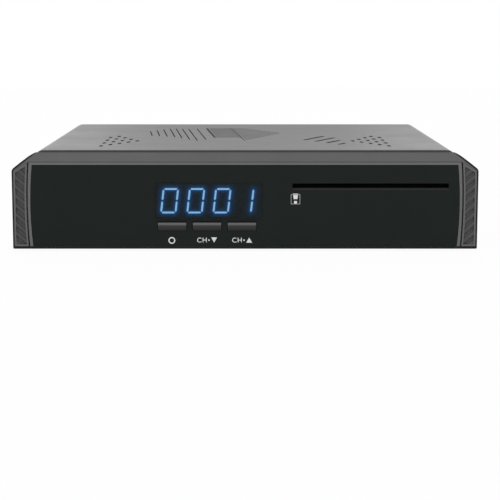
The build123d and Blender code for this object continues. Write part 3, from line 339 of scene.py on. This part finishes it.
frame_material, tree, shader = material_nodes("charcoal_frame")
x, y, z = object_axes(tree)
across = calc(tree, "ABSOLUTE", x)
# Painted dark reflection: the frame's sides, shoulders and foot are coloured near black, and made rougher so
# they mirror less.
dark_rim_side = calc(tree, "GREATER_THAN", across, (HALF_WIDTH - DARK_RIM_WIDTH) * MM)
slant = calc(tree, "ADD", calc(tree, "MULTIPLY", across, sin(SHOULDER_ANGLE)),
             calc(tree, "MULTIPLY", z, cos(SHOULDER_ANGLE)))
plane = HALF_WIDTH * sin(SHOULDER_ANGLE) + SHOULDER_Z * cos(SHOULDER_ANGLE)
dark_rim_shoulder = ramp(tree, slant, (plane - DARK_RIM_WIDTH - DARK_RIM_BLUR) * MM,
                        (plane - DARK_RIM_WIDTH + DARK_RIM_BLUR) * MM, 0.0, 1.0)
dark_rim_foot = calc(tree, "LESS_THAN", z, DARK_RIM_FOOT * MM)
painted_dark_rim = calc(tree, "MAXIMUM", calc(tree, "MAXIMUM", dark_rim_side, dark_rim_shoulder), dark_rim_foot)
# Painted highlight: the ring round the fascia is coloured paler than the band.
ring = calc(tree, "LESS_THAN", z, RING_TOP * MM)
for operation, value, limit in (("GREATER_THAN", z, RING_FOOT * MM), ("LESS_THAN", across, RING_SIDE * MM),
                                ("LESS_THAN", y, front_y + RING_DEPTH * MM)):
    ring = calc(tree, "MULTIPLY", ring, calc(tree, operation, value, limit))
charcoal = uneven(tree, (0.103, 0.103, 0.103), 0.04)
with_ring_highlight = mixed(tree, ring, charcoal, uneven(tree, (0.140, 0.142, 0.141), 0.04))
tree.links.new(mixed(tree, painted_dark_rim, with_ring_highlight, (0.004, 0.004, 0.005)), shader.inputs["Base Color"])
skin(tree, shader, roughness=0.45, grain=0.45, depth=0.006, gloss=0.35)
tree.links.new(ramp(tree, painted_dark_rim, 0.0, 1.0, 0.45, 0.85), shader.inputs["Roughness"])
dress(frame_material, "front_bezel")

cheek_material, tree, shader = material_nodes("ribbed_cheek")
RIM_HIGHLIGHT_DEPTH = 0.12
# Painted highlight: the cheeks' front rims are coloured paler than the ribbed fields.
rim = calc(tree, "LESS_THAN", object_axes(tree)[1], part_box("cheek_left")[0][1] + RIM_HIGHLIGHT_DEPTH * MM)
tree.links.new(mixed(tree, rim, uneven(tree, (0.054, 0.054, 0.055), 0.05), (0.12, 0.12, 0.121)),
               shader.inputs["Base Color"])
skin(tree, shader, roughness=0.45, grain=0.4, depth=0.006, gloss=0.4)
dress(cheek_material, "cheek_left", "cheek_right")
print("frame dressed; its front is at", round(front_y / MM, 2), "mm")

# %% [markdown]
# The fascia is a satin black with a trace of green. Its gloss is kept low, because a plain white
# room would otherwise turn it grey. The ramp below the long slot is painted paler, a painted highlight
# along the slot's lower lip. The keys' colour holds painted shade: it is dark where they sink into the
# fascia and on their top edge, and a pale band just under that edge is a painted highlight. A key's
# box also holds the flange behind the fascia, which is wider than what shows, so the flange is taken
# off before its finish is measured out.

# %% Dress the front
SLOT_HIGHLIGHT_TOP, SLOT_HIGHLIGHT_FOOT, BEHIND_FACE = 24.85, 24.45, 0.05
fascia_material, tree, shader = material_nodes("fascia_black")
x, y, z = object_axes(tree)
# Painted highlight: the slot's lower ramp is coloured paler than the fascia.
slot_highlight_mask = calc(tree, "GREATER_THAN", y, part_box("fascia_panel")[0][1] + BEHIND_FACE * MM)
for operation, limit in (("LESS_THAN", SLOT_HIGHLIGHT_TOP), ("GREATER_THAN", SLOT_HIGHLIGHT_FOOT)):
    slot_highlight_mask = calc(tree, "MULTIPLY", slot_highlight_mask, calc(tree, operation, z, limit * MM))
satin_black = uneven(tree, (0.0085, 0.012, 0.0112), 0.06)
tree.links.new(mixed(tree, slot_highlight_mask, satin_black, (0.05, 0.052, 0.051)), shader.inputs["Base Color"])
skin(tree, shader, roughness=0.42, grain=0.3, depth=0.002, gloss=0.12)
dress(fascia_material, "fascia_panel")

KEY_FLANGE = 0.8
key_low, key_high = (corner[2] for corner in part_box("standby_key"))
key_foot, key_top = key_low + KEY_FLANGE * MM, key_high - KEY_FLANGE * MM
key_material, tree, shader = material_nodes("key_black")
height = object_axes(tree)[2]
# Painted shade and highlight: the key's colour darkens towards its foot, a pale band under the top edge is a
# painted highlight, and the top edge is painted dark as shade.
key_shade_ramp = ramp(tree, height, key_foot, key_top, 0.0, 1.0)
face = mixed(tree, key_shade_ramp, (0.009, 0.009, 0.009), (0.064, 0.062, 0.062))
highlight_from = ramp(tree, height, key_top - 1.6 * MM, key_top - 1.1 * MM, 0.0, 1.0, smooth=True)
highlight_to = ramp(tree, height, key_top - 0.6 * MM, key_top - 0.4 * MM, 1.0, 0.0, smooth=True)
face = mixed(tree, calc(tree, "MULTIPLY", highlight_from, highlight_to), face, (0.138, 0.136, 0.135))
top_edge_shade = ramp(tree, height, key_top - 0.5 * MM, key_top - 0.4 * MM, 0.0, 1.0)
tree.links.new(mixed(tree, top_edge_shade, face, (0.012, 0.012, 0.012)), shader.inputs["Base Color"])
skin(tree, shader, roughness=0.38, grain=0.3, depth=0.001, gloss=0.25)
dress(key_material, "standby_key", "channel_down_key", "channel_up_key")

# %% [markdown]
# ## The display
# Behind the fascia's smoked filter stands a four-digit module. The filter lets part of what is
# behind it through, as alpha does here, and its face matches the fascia, so that only lit digits
# show. Each lit bar is a lamp behind a diffuser and gives light of one colour. The bars are copied
# from the model and their ends rounded with a bevel, because a moulded diffuser has no sharp corner.

# %% Make the lit bars with rounded ends
dress(moulded("module_black", (0.004, 0.0045, 0.006), 0.6, grain=0.3, depth=0.004, gloss=0.1),
      "display_module", "dark_segments", "card_reader_base")

window_material, tree, shader = material_nodes("smoked_filter")
tree.links.new(uneven(tree, (0.0082, 0.0128, 0.0122), 0.05), shader.inputs["Base Color"])
shader.inputs["Roughness"].default_value = 0.42
shader.inputs["Specular IOR Level"].default_value = 0.13
shader.inputs["Alpha"].default_value = 0.85
dress(window_material, "display_window")

lit_material, tree, shader = material_nodes("lit_blue")
shader.inputs["Base Color"].default_value = (0.02, 0.05, 0.12, 1.0)
shader.inputs["Emission Color"].default_value = (0.32, 0.64, 1.0, 1.0)
shader.inputs["Emission Strength"].default_value = 30.0
tree.links.new(ramp(tree, noise(tree, 900.0), 0.3, 0.7, 0.35, 0.45), shader.inputs["Roughness"])


def finish_piece(name, shape, *materials, body="case", stands_for=()):
    """Turn a bmesh into an object that follows a body, and may stand for CAD nodes."""
    mesh = bpy.data.meshes.new(name)
    shape.to_mesh(mesh)
    shape.free()
    for material in materials:
        mesh.materials.append(material)
    piece = bpy.data.objects.new(name, mesh)
    scene.collection.objects.link(piece)
    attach(piece, body)
    if stands_for:
        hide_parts(*stands_for)
    print(name, "has", len(mesh.polygons), "faces")
    return piece


BAR_END = 0.15
BAR_PROUD = 0.03
bars = bmesh.new()
bars.from_mesh(bpy.data.objects["lit_segments"].data)
bmesh.ops.remove_doubles(bars, verts=bars.verts[:], dist=0.001 * MM)
bmesh.ops.dissolve_limit(bars, angle_limit=radians(1), verts=bars.verts[:], edges=bars.edges[:])
deep = [e for e in bars.edges if abs((e.verts[1].co - e.verts[0].co).normalized().y) > 0.99]
bmesh.ops.bevel(bars, geom=deep, offset=BAR_END * MM, affect="EDGES", segments=3, profile=0.5, material=-1)
bmesh.ops.translate(bars, verts=bars.verts[:], vec=(0.0, -BAR_PROUD * MM, 0.0))
lit_surface = BVHTree.FromBMesh(bars)
finish_piece("lit_bars", bars, lit_material, stands_for=["lit_segments"])

# %% [markdown]
# Light from a bar also spreads in the module's diffuser film, which gives each digit a deep blue
# halo. The film is a fine grid a hair in front of the module. How far each of its points lies from
# the nearest lit bar is worked out once and stored on the mesh, and its material glows by that.

# %% Lay a film that glows round the lit bars
FILM_PROUD = 0.06
NEAR, FAR, FAR_SHARE = 0.6, 2.2, 0.06
low, high = (Vector(corner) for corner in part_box("display_module"))
size = high - low
film = bmesh.new()
bmesh.ops.create_grid(film, x_segments=160, y_segments=52, size=0.5)
film_place = Matrix.Translation(((low.x + high.x) / 2, low.y - FILM_PROUD * MM, (low.z + high.z) / 2))
film.transform(film_place @ Matrix.Rotation(pi / 2, 4, "X") @ Matrix.Diagonal((size.x, size.z, 1.0, 1.0)))
distances = [lit_surface.find_nearest(v.co)[3] / MM for v in film.verts]

film_material, tree, shader = material_nodes("glowing_film")
attribute = add_node(tree, "ShaderNodeAttribute", attribute_name="glow")
tree.links.new(uneven(tree, (0.004, 0.0045, 0.006), 0.05), shader.inputs["Base Color"])
shader.inputs["Roughness"].default_value = 0.6
shader.inputs["Specular IOR Level"].default_value = 0.1
shader.inputs["Emission Color"].default_value = (0.0, 0.28, 1.0, 1.0)
tree.links.new(calc(tree, "MULTIPLY", attribute.outputs["Fac"], 8.0), shader.inputs["Emission Strength"])

film_piece = finish_piece("display_film", film, film_material)
glow_values = film_piece.data.attributes.new("glow", "FLOAT", "POINT")
halo = [(1 - FAR_SHARE) * exp(-d / NEAR) + FAR_SHARE * exp(-d / FAR) for d in distances]
glow_values.data.foreach_set("value", halo)
print("the film's farthest point is", round(max(distances), 1), "mm from a lit bar")


# %% [markdown]
# ## Printed marks
# The marks under the keys are screen-printed ink, a few hundredths of a millimetre thick. Each is
# drawn flat with bmesh or as text, turned upright and laid on the fascia, whose face comes from the
# model. Heights are counted from FOOT, a little above the ground. Ink is dull white with slightly
# uneven cover.

# %% Helpers that draw flat marks
INK = 0.03
FOOT = 2.0


def drawn(*corners):
    """A flat shape from its corners, in millimetres."""
    shape = bmesh.new()
    shape.faces.new([shape.verts.new((x, y, 0.0)) for x, y in corners])
    return shape


def rectangle(x0, x1, y0, y1):
    return drawn((x0, y0), (x1, y0), (x1, y1), (x0, y1))


def disc(radius, segments=48):
    shape = bmesh.new()
    bmesh.ops.create_circle(shape, cap_ends=True, segments=segments, radius=radius)
    return shape


def hollow(shape, stroke):
    """Leave only a band of a flat shape along its edge."""
    shape.normal_update()
    middle = shape.faces[:]
    bmesh.ops.inset_region(shape, faces=middle, use_boundary=True, use_even_offset=True, thickness=stroke)
    bmesh.ops.delete(shape, geom=middle, context="FACES_ONLY")
    return shape


def word(text, height, weight=0.02, spacing=1.05):
    """Plain letters as a flat mesh that starts at X = 0 on the line Y = 0."""
    curve = bpy.data.curves.new("word", "FONT")
    curve.body = text
    curve.offset = weight
    curve.space_character = spacing
    holder = bpy.data.objects.new("word", curve)
    scene.collection.objects.link(holder)
    bpy.context.view_layer.update()
    mesh = bpy.data.meshes.new_from_object(holder)
    bpy.data.objects.remove(holder)
    shape = bmesh.new()
    shape.from_mesh(mesh)
    bpy.data.meshes.remove(mesh)
    low_x, low_y = (min(v.co[i] for v in shape.verts) for i in (0, 1))
    bmesh.ops.translate(shape, verts=shape.verts[:], vec=(-low_x, -low_y, 0.0))
    bmesh.ops.scale(shape, verts=shape.verts[:], vec=(height / max(v.co.y for v in shape.verts),) * 3)
    return shape


def moved(shape, x=0.0, y=0.0, z=0.0):
    bmesh.ops.translate(shape, verts=shape.verts[:], vec=(x, y, z))
    return shape


def merged(shapes):
    whole = bmesh.new()
    for shape in shapes:
        mesh = bpy.data.meshes.new("part")
        shape.to_mesh(mesh)
        shape.free()
        whole.from_mesh(mesh)
        bpy.data.meshes.remove(mesh)
    return whole


def lay(shapes, place):
    """Give flat marks their thickness, join them and lay them on a plane."""
    for shape in shapes:
        flat = bmesh.ops.extrude_face_region(shape, geom=shape.faces[:])
        raised = [v for v in flat["geom"] if isinstance(v, bmesh.types.BMVert)]
        bmesh.ops.translate(shape, verts=raised, vec=(0.0, 0.0, INK))
        bmesh.ops.recalc_face_normals(shape, faces=shape.faces[:])
    whole = merged(shapes)
    whole.transform(place @ Matrix.Scale(MM, 4))
    return whole


def width_of(shape):
    xs = [v.co.x for v in shape.verts]
    return max(xs) - min(xs)


print("mark helpers ready")

# %% Lay the marks under the keys
ink = moulded("white_ink", (0.86, 0.86, 0.85), 0.55, grain=0.2, depth=0.002, gloss=0.3, change=0.03)
face_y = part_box("fascia_panel")[0][1]
facing_front = Matrix.Translation((0.0, face_y, FOOT * MM)) @ Matrix.Rotation(pi / 2, 4, "X")

LETTER_HEIGHT, CHANNEL_WIDTH, DOT_RADIUS, DOT_PLACE = 1.95, 3.75, 0.32, 4.6
finish_piece("standby_mark", lay([moved(hollow(disc(1.34), 0.46), -28.4, 2.65)], facing_front), ink)
down_arrow = drawn((-12.0, 1.85), (-10.85, 3.85), (-13.15, 3.85))
up_arrow = drawn((0.45, 1.75), (2.75, 1.75), (1.6, 3.75))
for name, left, arrow in (("channel_down_mark", -18.6, down_arrow), ("channel_up_mark", -5.0, up_arrow)):
    letters = word("CH", LETTER_HEIGHT, weight=0.01, spacing=1.12)
    bmesh.ops.scale(letters, verts=letters.verts[:], vec=(CHANNEL_WIDTH / width_of(letters), 1.0, 1.0))
    letters = moved(letters, left, 1.8)
    dot = moved(disc(DOT_RADIUS, 24), left + DOT_PLACE, 2.75)
    finish_piece(name, lay([letters, dot, arrow], facing_front), ink)

# %% [markdown]
# The mark beside the long slot is a thin upright outline in grey. Inside it a white end that narrows
# downwards stands above a small white block.

# %% Lay the card mark
grey_ink = moulded("grey_ink", (0.40, 0.40, 0.40), 0.55, grain=0.2, depth=0.002, gloss=0.3, change=0.03)
CARD_X = 19.5
outline = hollow(rectangle(CARD_X - 1.8, CARD_X + 1.8, 16.85, 20.75), 0.22)
finish_piece("card_mark_outline", lay([outline], facing_front), grey_ink)
card_end = drawn((CARD_X - 0.73, 18.85), (CARD_X + 0.73, 18.85), (CARD_X + 0.98, 21.0), (CARD_X - 0.98, 21.0))
chip = rectangle(CARD_X - 0.57, CARD_X + 0.57, 17.0, 18.1)
finish_piece("card_mark", lay([card_end, chip], facing_front), ink)

# %% [markdown]
# ## Metals
# Plated metal gets its look from what it mirrors, so its colour is plain and its roughness uneven.
# Brushed or drawn sheet also has fine lines along one direction, which a stretched noise gives.

# %% Dress the metal parts
def metal(name, colour, roughness, grain=0.4, depth=0.0015, stretch=(1.0, 1.0, 1.0)):
    material, tree, shader = material_nodes(name)
    shader.inputs["Metallic"].default_value = 1.0
    tree.links.new(uneven(tree, colour, 0.05, 120.0), shader.inputs["Base Color"])
    lines = noise(tree, 1.0 / (grain * MM), stretch=stretch)
    tree.links.new(ramp(tree, lines, 0.3, 0.7, roughness - 0.06, roughness + 0.08),
                   shader.inputs["Roughness"])
    add_bump(tree, shader, lines, depth * MM)
    return material


nickel = metal("nickel_plate", (0.72, 0.70, 0.66), 0.22)
tin = metal("tinned_sheet", (0.66, 0.66, 0.64), 0.32, stretch=(0.1, 1.0, 1.0))
zinc = metal("zinc_plate", (0.60, 0.60, 0.57), 0.3)
gold = metal("gold_plate", (0.83, 0.62, 0.26), 0.25)
dress(nickel, "aerial_washers", "audio_barrel", "power_pin")
dress(tin, "tuner_can", "tuner_lid", "av_shell", "video_shell", "data_shell", "card_reader_lid", "crystal")
dress(zinc, "case_screws", "main_board_screws", "front_board_screws", "reader_screws", "rear_screws",
      "reader_spacers")
dress(gold, "card_contacts")
dress(metal("sink_aluminium", (0.70, 0.70, 0.71), 0.38, stretch=(1.0, 0.05, 1.0)), "heat_sink")

# %% Dress the plastic parts inside and behind
black_parts = moulded("socket_black", (0.018, 0.018, 0.019), 0.45, grain=0.4, depth=0.006)
dress(black_parts, "switch_bodies", "infrared_eye", "board_header", "card_header", "processor",
      "memory_chips", "regulator", "av_core", "video_core", "data_core", "audio_body",
      "remote_jack", "power_inlet", "coils")
dress(moulded("plunger_red", (0.35, 0.05, 0.03), 0.45), "standby_plunger", "channel_down_plunger",
      "channel_up_plunger")
dress(moulded("insulator_white", (0.80, 0.79, 0.76), 0.4), "aerial_cores")
dress(moulded("rear_paint", (0.02, 0.02, 0.021), 0.4, grain=0.35, depth=0.015), "rear_panel")


# %% [markdown]
# ## The aerial sockets
# A cable screws on to each aerial socket, so its barrel has a real thread: 32 turns to the inch. The
# CAD model has a plain barrel of the thread's outer size. A thread is one tooth's outline spun round
# the axis while it climbs a pitch for each turn. The spun skin is cut square at both ends with two
# planes, and its tip is narrowed so that a nut starts easily. The bore is a ring drawn out along the
# barrel, and each end is filled between the skin's rim and the bore's. Bridging the rings would be
# shorter, but a bridge can join two flat rings crosswise, and then no side of the skin is the outside.

# %% Spin the threaded barrels
PITCH = 0.794
CREST, ROOT, SHANK, BORE = 4.7625, 4.33, 4.6, 3.5
STEPS = 36


def spun(points):
    """A closed solid of revolution round Z, from points of (radius, height)."""
    shape = bmesh.new()
    verts = [shape.verts.new((r, 0.0, h)) for r, h in points]
    edges = [shape.edges.new(pair) for pair in zip(verts, verts[1:])]
    if points[0][0] > 0:
        edges.append(shape.edges.new((verts[-1], verts[0])))
    bmesh.ops.spin(shape, geom=verts + edges, cent=(0, 0, 0), axis=(0, 0, 1), angle=2 * pi, steps=STEPS,
                   use_merge=True)
    bmesh.ops.remove_doubles(shape, verts=shape.verts[:], dist=1e-4)
    bmesh.ops.recalc_face_normals(shape, faces=shape.faces[:])
    return shape


def ring_edges(verts):
    """The edges of a ring of points. A set would give them in another order on every run."""
    return list(dict.fromkeys(e for v in verts for e in v.link_edges))


def thread(length):
    """A threaded tube from Z = 0 up, open inside to the bore."""
    shape = bmesh.new()
    tooth = [(ROOT, 0.0), (CREST, 5 / 16), (CREST, 7 / 16), (ROOT, 12 / 16), (ROOT, 1.0)]
    verts = [shape.verts.new((r, 0.0, (h - 1.5) * PITCH)) for r, h in tooth]
    edges = [shape.edges.new(pair) for pair in zip(verts, verts[1:])]
    turns = ceil(length / PITCH) + 3
    bmesh.ops.spin(shape, geom=verts + edges, cent=(0, 0, 0), axis=(0, 0, 1), dvec=(0, 0, PITCH / STEPS),
                   angle=2 * pi * turns, steps=STEPS * turns, use_merge=False)
    bmesh.ops.remove_doubles(shape, verts=shape.verts[:], dist=1e-4)
    for height, up in ((0.0, -1), (length, 1)):
        bmesh.ops.bisect_plane(shape, geom=shape.verts[:] + shape.edges[:] + shape.faces[:],
                               plane_co=(0, 0, height), plane_no=(0, 0, up), clear_outer=True, dist=1e-5)
    for v in shape.verts:
        limit = ROOT - 0.25 + (length - v.co.z)
        radius = v.co.xy.length
        if radius > limit:
            v.co.xy = v.co.xy * (limit / radius)
    rims = [[e for e in shape.edges if e.is_boundary and all(abs(v.co.z - h) < 1e-4 for v in e.verts)]
            for h in (0.0, length)]
    bore_start = ring_edges(bmesh.ops.create_circle(shape, segments=STEPS, radius=BORE)["verts"])
    wall = bmesh.ops.extrude_edge_only(shape, edges=bore_start)["geom"]
    far_ring = [g for g in wall if isinstance(g, bmesh.types.BMVert)]
    bmesh.ops.translate(shape, verts=far_ring, vec=(0, 0, length))
    bore_end = [g for g in wall if isinstance(g, bmesh.types.BMEdge) and g.is_boundary]
    for rim, bore in zip(rims, (bore_start, bore_end)):
        bmesh.ops.triangle_fill(shape, use_beauty=True, edges=rim + bore)
    bmesh.ops.recalc_face_normals(shape, faces=shape.faces[:])
    return shape


low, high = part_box("aerial_sockets")
AERIAL_SPACING = 18.0
FLANGE_RADIUS, FLANGE, PLAIN, WHOLE = 5.6, 1.5, 5.7, 12.2
axis_x, axis_z = (low[0] + high[0]) / 2 / MM, (low[2] + high[2]) / 2 / MM
backwards = Matrix.Rotation(-pi / 2, 4, "X")
barrels = []
for side in (-1, 1):
    flange = spun([(0, -FLANGE), (FLANGE_RADIUS, -FLANGE), (FLANGE_RADIUS, 0), (SHANK, 0), (SHANK, PLAIN),
                   (BORE, PLAIN), (BORE, 0), (0, 0)])
    barrel = merged([flange, moved(thread(WHOLE - PLAIN), z=PLAIN)])
    barrel.transform(Matrix.Translation(((axis_x + side * AERIAL_SPACING / 2), low[1] / MM + FLANGE, axis_z))
                     @ backwards)
    barrels.append(barrel)
barrels = merged(barrels)
barrels.transform(Matrix.Scale(MM, 4))
finish_piece("aerial_barrels", barrels, nickel, stands_for=["aerial_sockets"])


# %% [markdown]
# Each socket is held by a nut. A nut is turned from hexagon bar and its corners are chamfered on the
# lathe, which leaves the curved edge on every flat. So the ring is swept as the lathe would: at each
# angle the bar has its own radius, and where that passes the chamfer's circle, the face drops away.

# %% Turn the chamfered nuts
NUT_FLATS, NUT_THICK, NUT_HOLE = 11.1, 2.4, 4.8625


def nut():
    shape = bmesh.new()
    start = bmesh.ops.create_circle(shape, segments=72, radius=1.0)["verts"]
    loop = ring_edges(start)
    first = loop
    face = NUT_FLATS / 2 * 1.02

    def shaped(verts, kind, top):
        for v in verts:
            angle = atan2(v.co.y, v.co.x)
            bar = NUT_FLATS / 2 / cos((angle + pi / 6) % (pi / 3) - pi / 6)
            radius = {"hole": NUT_HOLE, "face": min(bar, face), "wall": bar}[kind]
            drop = max(bar - face, 0.0) * tan(radians(30)) if kind == "wall" else 0.0
            height = NUT_THICK - drop if top else drop
            v.co = (radius * cos(angle), radius * sin(angle), height)

    shaped(start, "hole", False)
    for kind, top in (("face", False), ("wall", False), ("wall", True), ("face", True), ("hole", True)):
        grown = bmesh.ops.extrude_edge_only(shape, edges=loop)["geom"]
        loop = [g for g in grown if isinstance(g, bmesh.types.BMEdge)]
        shaped([g for g in grown if isinstance(g, bmesh.types.BMVert)], kind, top)
    loop = [e for e in loop if e.is_boundary]
    bmesh.ops.bridge_loops(shape, edges=first + loop)
    bmesh.ops.remove_doubles(shape, verts=shape.verts[:], dist=1e-4)
    bmesh.ops.recalc_face_normals(shape, faces=shape.faces[:])
    return shape


nuts = []
nut_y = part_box("aerial_nuts")[0][1] / MM
for side in (-1, 1):
    one = nut()
    one.transform(Matrix.Translation((axis_x + side * AERIAL_SPACING / 2, nut_y, axis_z)) @ backwards)
    nuts.append(one)
nuts = merged(nuts)
nuts.transform(Matrix.Scale(MM, 4))
finish_piece("aerial_hex_nuts", nuts, nickel, stands_for=["aerial_nuts"])


# %% [markdown]
# ## Contacts
# The sockets' plastic cores carry gold-plated contacts. Each is a flat spring with a softened nose,
# so one bevelled bar is copied along every row: above and below the video socket's tongue, under the
# data socket's, and a blade in each opening of the 21-pin socket.

# %% Lay the contacts in the sockets
def bar(x, y, z, width, depth, height, soft):
    """A block about its middle, with softened edges, in millimetres."""
    shape = bmesh.new()
    bmesh.ops.create_cube(shape, size=1.0)
    bmesh.ops.scale(shape, verts=shape.verts[:], vec=(width, depth, height))
    bmesh.ops.bevel(shape, geom=shape.edges[:], offset=soft, affect="EDGES", segments=2, profile=0.5,
                    material=-1)
    return moved(shape, x, y, z)


def centre(node):
    low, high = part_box(node)
    return [(a + b) / 2 / MM for a, b in zip(low, high)], low[1] / MM, high[1] / MM


def placed(name, shapes, *materials):
    whole = merged(shapes)
    whole.transform(Matrix.Scale(MM, 4))
    return finish_piece(name, whole, *materials)


VIDEO_SPRING, VIDEO_DEPTH, TONGUE_HALF = (0.42, 7.0, 0.24), 4.3, 0.5
DATA_SPRING, DATA_DEPTH, DATA_UNDERSIDE = (1.3, 8.0, 0.3), 5.4, 0.05
AV_BLADE, AV_DEPTH, AV_PITCH, AV_ROWS = (0.42, 6.0, 2.3), 4.5, 3.81, 6.2
(video_x, _, video_z), _, video_end = centre("video_core")
contacts = [bar(video_x + (i - (count - 1) / 2), video_end - VIDEO_DEPTH, video_z + side * TONGUE_HALF,
                *VIDEO_SPRING, 0.05)
            for side, count in ((1, 10), (-1, 9)) for i in range(count)]
(data_x, _, data_z), _, data_end = centre("data_core")
contacts += [bar(data_x + place, data_end - DATA_DEPTH, data_z + DATA_UNDERSIDE, *DATA_SPRING, 0.08)
             for place in (-3.5, -1.0, 1.0, 3.5)]
(av_x, _, av_z), _, av_end = centre("av_core")
contacts += [bar(av_x + (i - 4.5 + row / 4) * AV_PITCH, av_end - AV_DEPTH, av_z + row * AV_ROWS / 2,
                 *AV_BLADE, 0.1)
             for row in (-1, 1) for i in range(10)]
placed("socket_contacts", contacts, gold)

# %% [markdown]
# ## The boards
# A circuit board is green lacquer over copper tracks: the tracks show as a slightly lighter green
# and stand a few hundredths of a millimetre proud. Bricks make a maze of straight edges that reads
# as tracks from a hand's breadth away.

# %% Dress the boards
board_material, tree, shader = material_nodes("green_lacquer")
bricks = add_node(tree, "ShaderNodeTexBrick")
for name, number in (("Scale", 260.0), ("Mortar Size", 0.06), ("Brick Width", 1.7), ("Row Height", 0.35)):
    bricks.inputs[name].default_value = number
for name, colour in (("Color1", (0.012, 0.085, 0.035, 1.0)), ("Color2", (0.016, 0.105, 0.042, 1.0)),
                     ("Mortar", (0.03, 0.16, 0.06, 1.0))):
    bricks.inputs[name].default_value = colour
tree.links.new(add_node(tree, "ShaderNodeTexCoord").outputs["Object"], bricks.inputs["Vector"])
tree.links.new(bricks.outputs["Color"], shader.inputs["Base Color"])
add_bump(tree, shader, bricks.outputs["Fac"], 0.03 * MM)
shader.inputs["Roughness"].default_value = 0.3
dress(board_material, "front_board", "card_board", "main_board")

# %% Dress the capacitors, dark sleeves with bare tops
sleeve_material, tree, shader = material_nodes("capacitor_sleeve")
bare = calc(tree, "GREATER_THAN", object_axes(tree)[2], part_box("capacitors")[1][2] - 0.15 * MM)
tree.links.new(mixed(tree, bare, (0.012, 0.016, 0.05), (0.68, 0.68, 0.67)), shader.inputs["Base Color"])
tree.links.new(bare, shader.inputs["Metallic"])
tree.links.new(ramp(tree, noise(tree, 400.0), 0.3, 0.7, 0.28, 0.38), shader.inputs["Roughness"])
dress(sleeve_material, "capacitors")

# %% [markdown]
# Between the large parts a board is dotted with surface-mounted resistors and capacitors: a dark or
# tan body with tinned ends. One block is cut by two planes near its ends, and the end faces take the
# tin. They sit in rows, as a placing machine leaves them.

# %% Place the small parts on the main board
ceramic = moulded("ceramic_body", (0.16, 0.10, 0.06), 0.5, grain=0.2, depth=0.002)
board_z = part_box("main_board")[1][2] / MM
TIN_FROM = 0.28


def small_part(x, y, turned):
    length, width, height = 2.0, 1.25, 0.6
    shape = bar(0.0, 0.0, 0.0, length, width, height, 0.1)
    for side in (-1, 1):
        bmesh.ops.bisect_plane(shape, geom=shape.verts[:] + shape.edges[:] + shape.faces[:],
                               plane_co=(side * length * TIN_FROM, 0, 0), plane_no=(1, 0, 0), dist=1e-5)
    for face in shape.faces:
        face.material_index = int(abs(face.calc_center_median().x) > length * TIN_FROM)
    if turned:
        shape.transform(Matrix.Rotation(pi / 2, 4, "Z"))
    return moved(shape, x, y, board_z + height / 2)


# Each row: where it starts, how many parts, their pitch, and whether they are turned.
rows = [(-27.0, -35.0, 10, 3.2, False), (-27.0, 15.0, 10, 3.2, True), (-62.0, -30.0, 6, 4.0, True),
        (-62.0, -24.0, 6, 4.0, True), (22.0, -2.0, 12, 4.0, False), (22.0, 5.0, 12, 4.0, True)]
placed("small_parts", [small_part(x + i * pitch, y, turned) for x, y, count, pitch, turned in rows
                       for i in range(count)], ceramic, tin)

# %% [markdown]
# ## Marks on the back
# Each socket has its plain name printed over it, so that a cable finds its place. The words are laid
# as the front's marks are, turned half round.

# %% Print the sockets' names
rear_ink = moulded("rear_ink", (0.70, 0.70, 0.69), 0.55, grain=0.2, depth=0.002, gloss=0.3, change=0.03)
panel_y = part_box("rear_panel")[1][1]
facing_back = (Matrix.Translation((0.0, panel_y, 0.0)) @ Matrix.Rotation(pi, 4, "Z")
               @ Matrix.Rotation(pi / 2, 4, "X"))
NAME_HEIGHT, NAME_LINE = 2.2, 27.5
names = [("IN", axis_x - AERIAL_SPACING / 2), ("OUT", axis_x + AERIAL_SPACING / 2), ("TV", av_x),
         ("VIDEO", video_x), ("DATA", data_x), ("AUDIO", centre("audio_body")[0][0]),
         ("EYE", centre("remote_jack")[0][0]), ("12 V", centre("power_inlet")[0][0])]
words = []
for text, x in names:
    letters = word(text, NAME_HEIGHT)
    words.append(moved(letters, -x - width_of(letters) / 2, NAME_LINE))
finish_piece("socket_names", lay(words, facing_back), rear_ink)

# %% Write the sizes and finish
low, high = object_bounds()
print("visual box in mm:", [round((b - a) / MM, 1) for a, b in zip(low, high)])
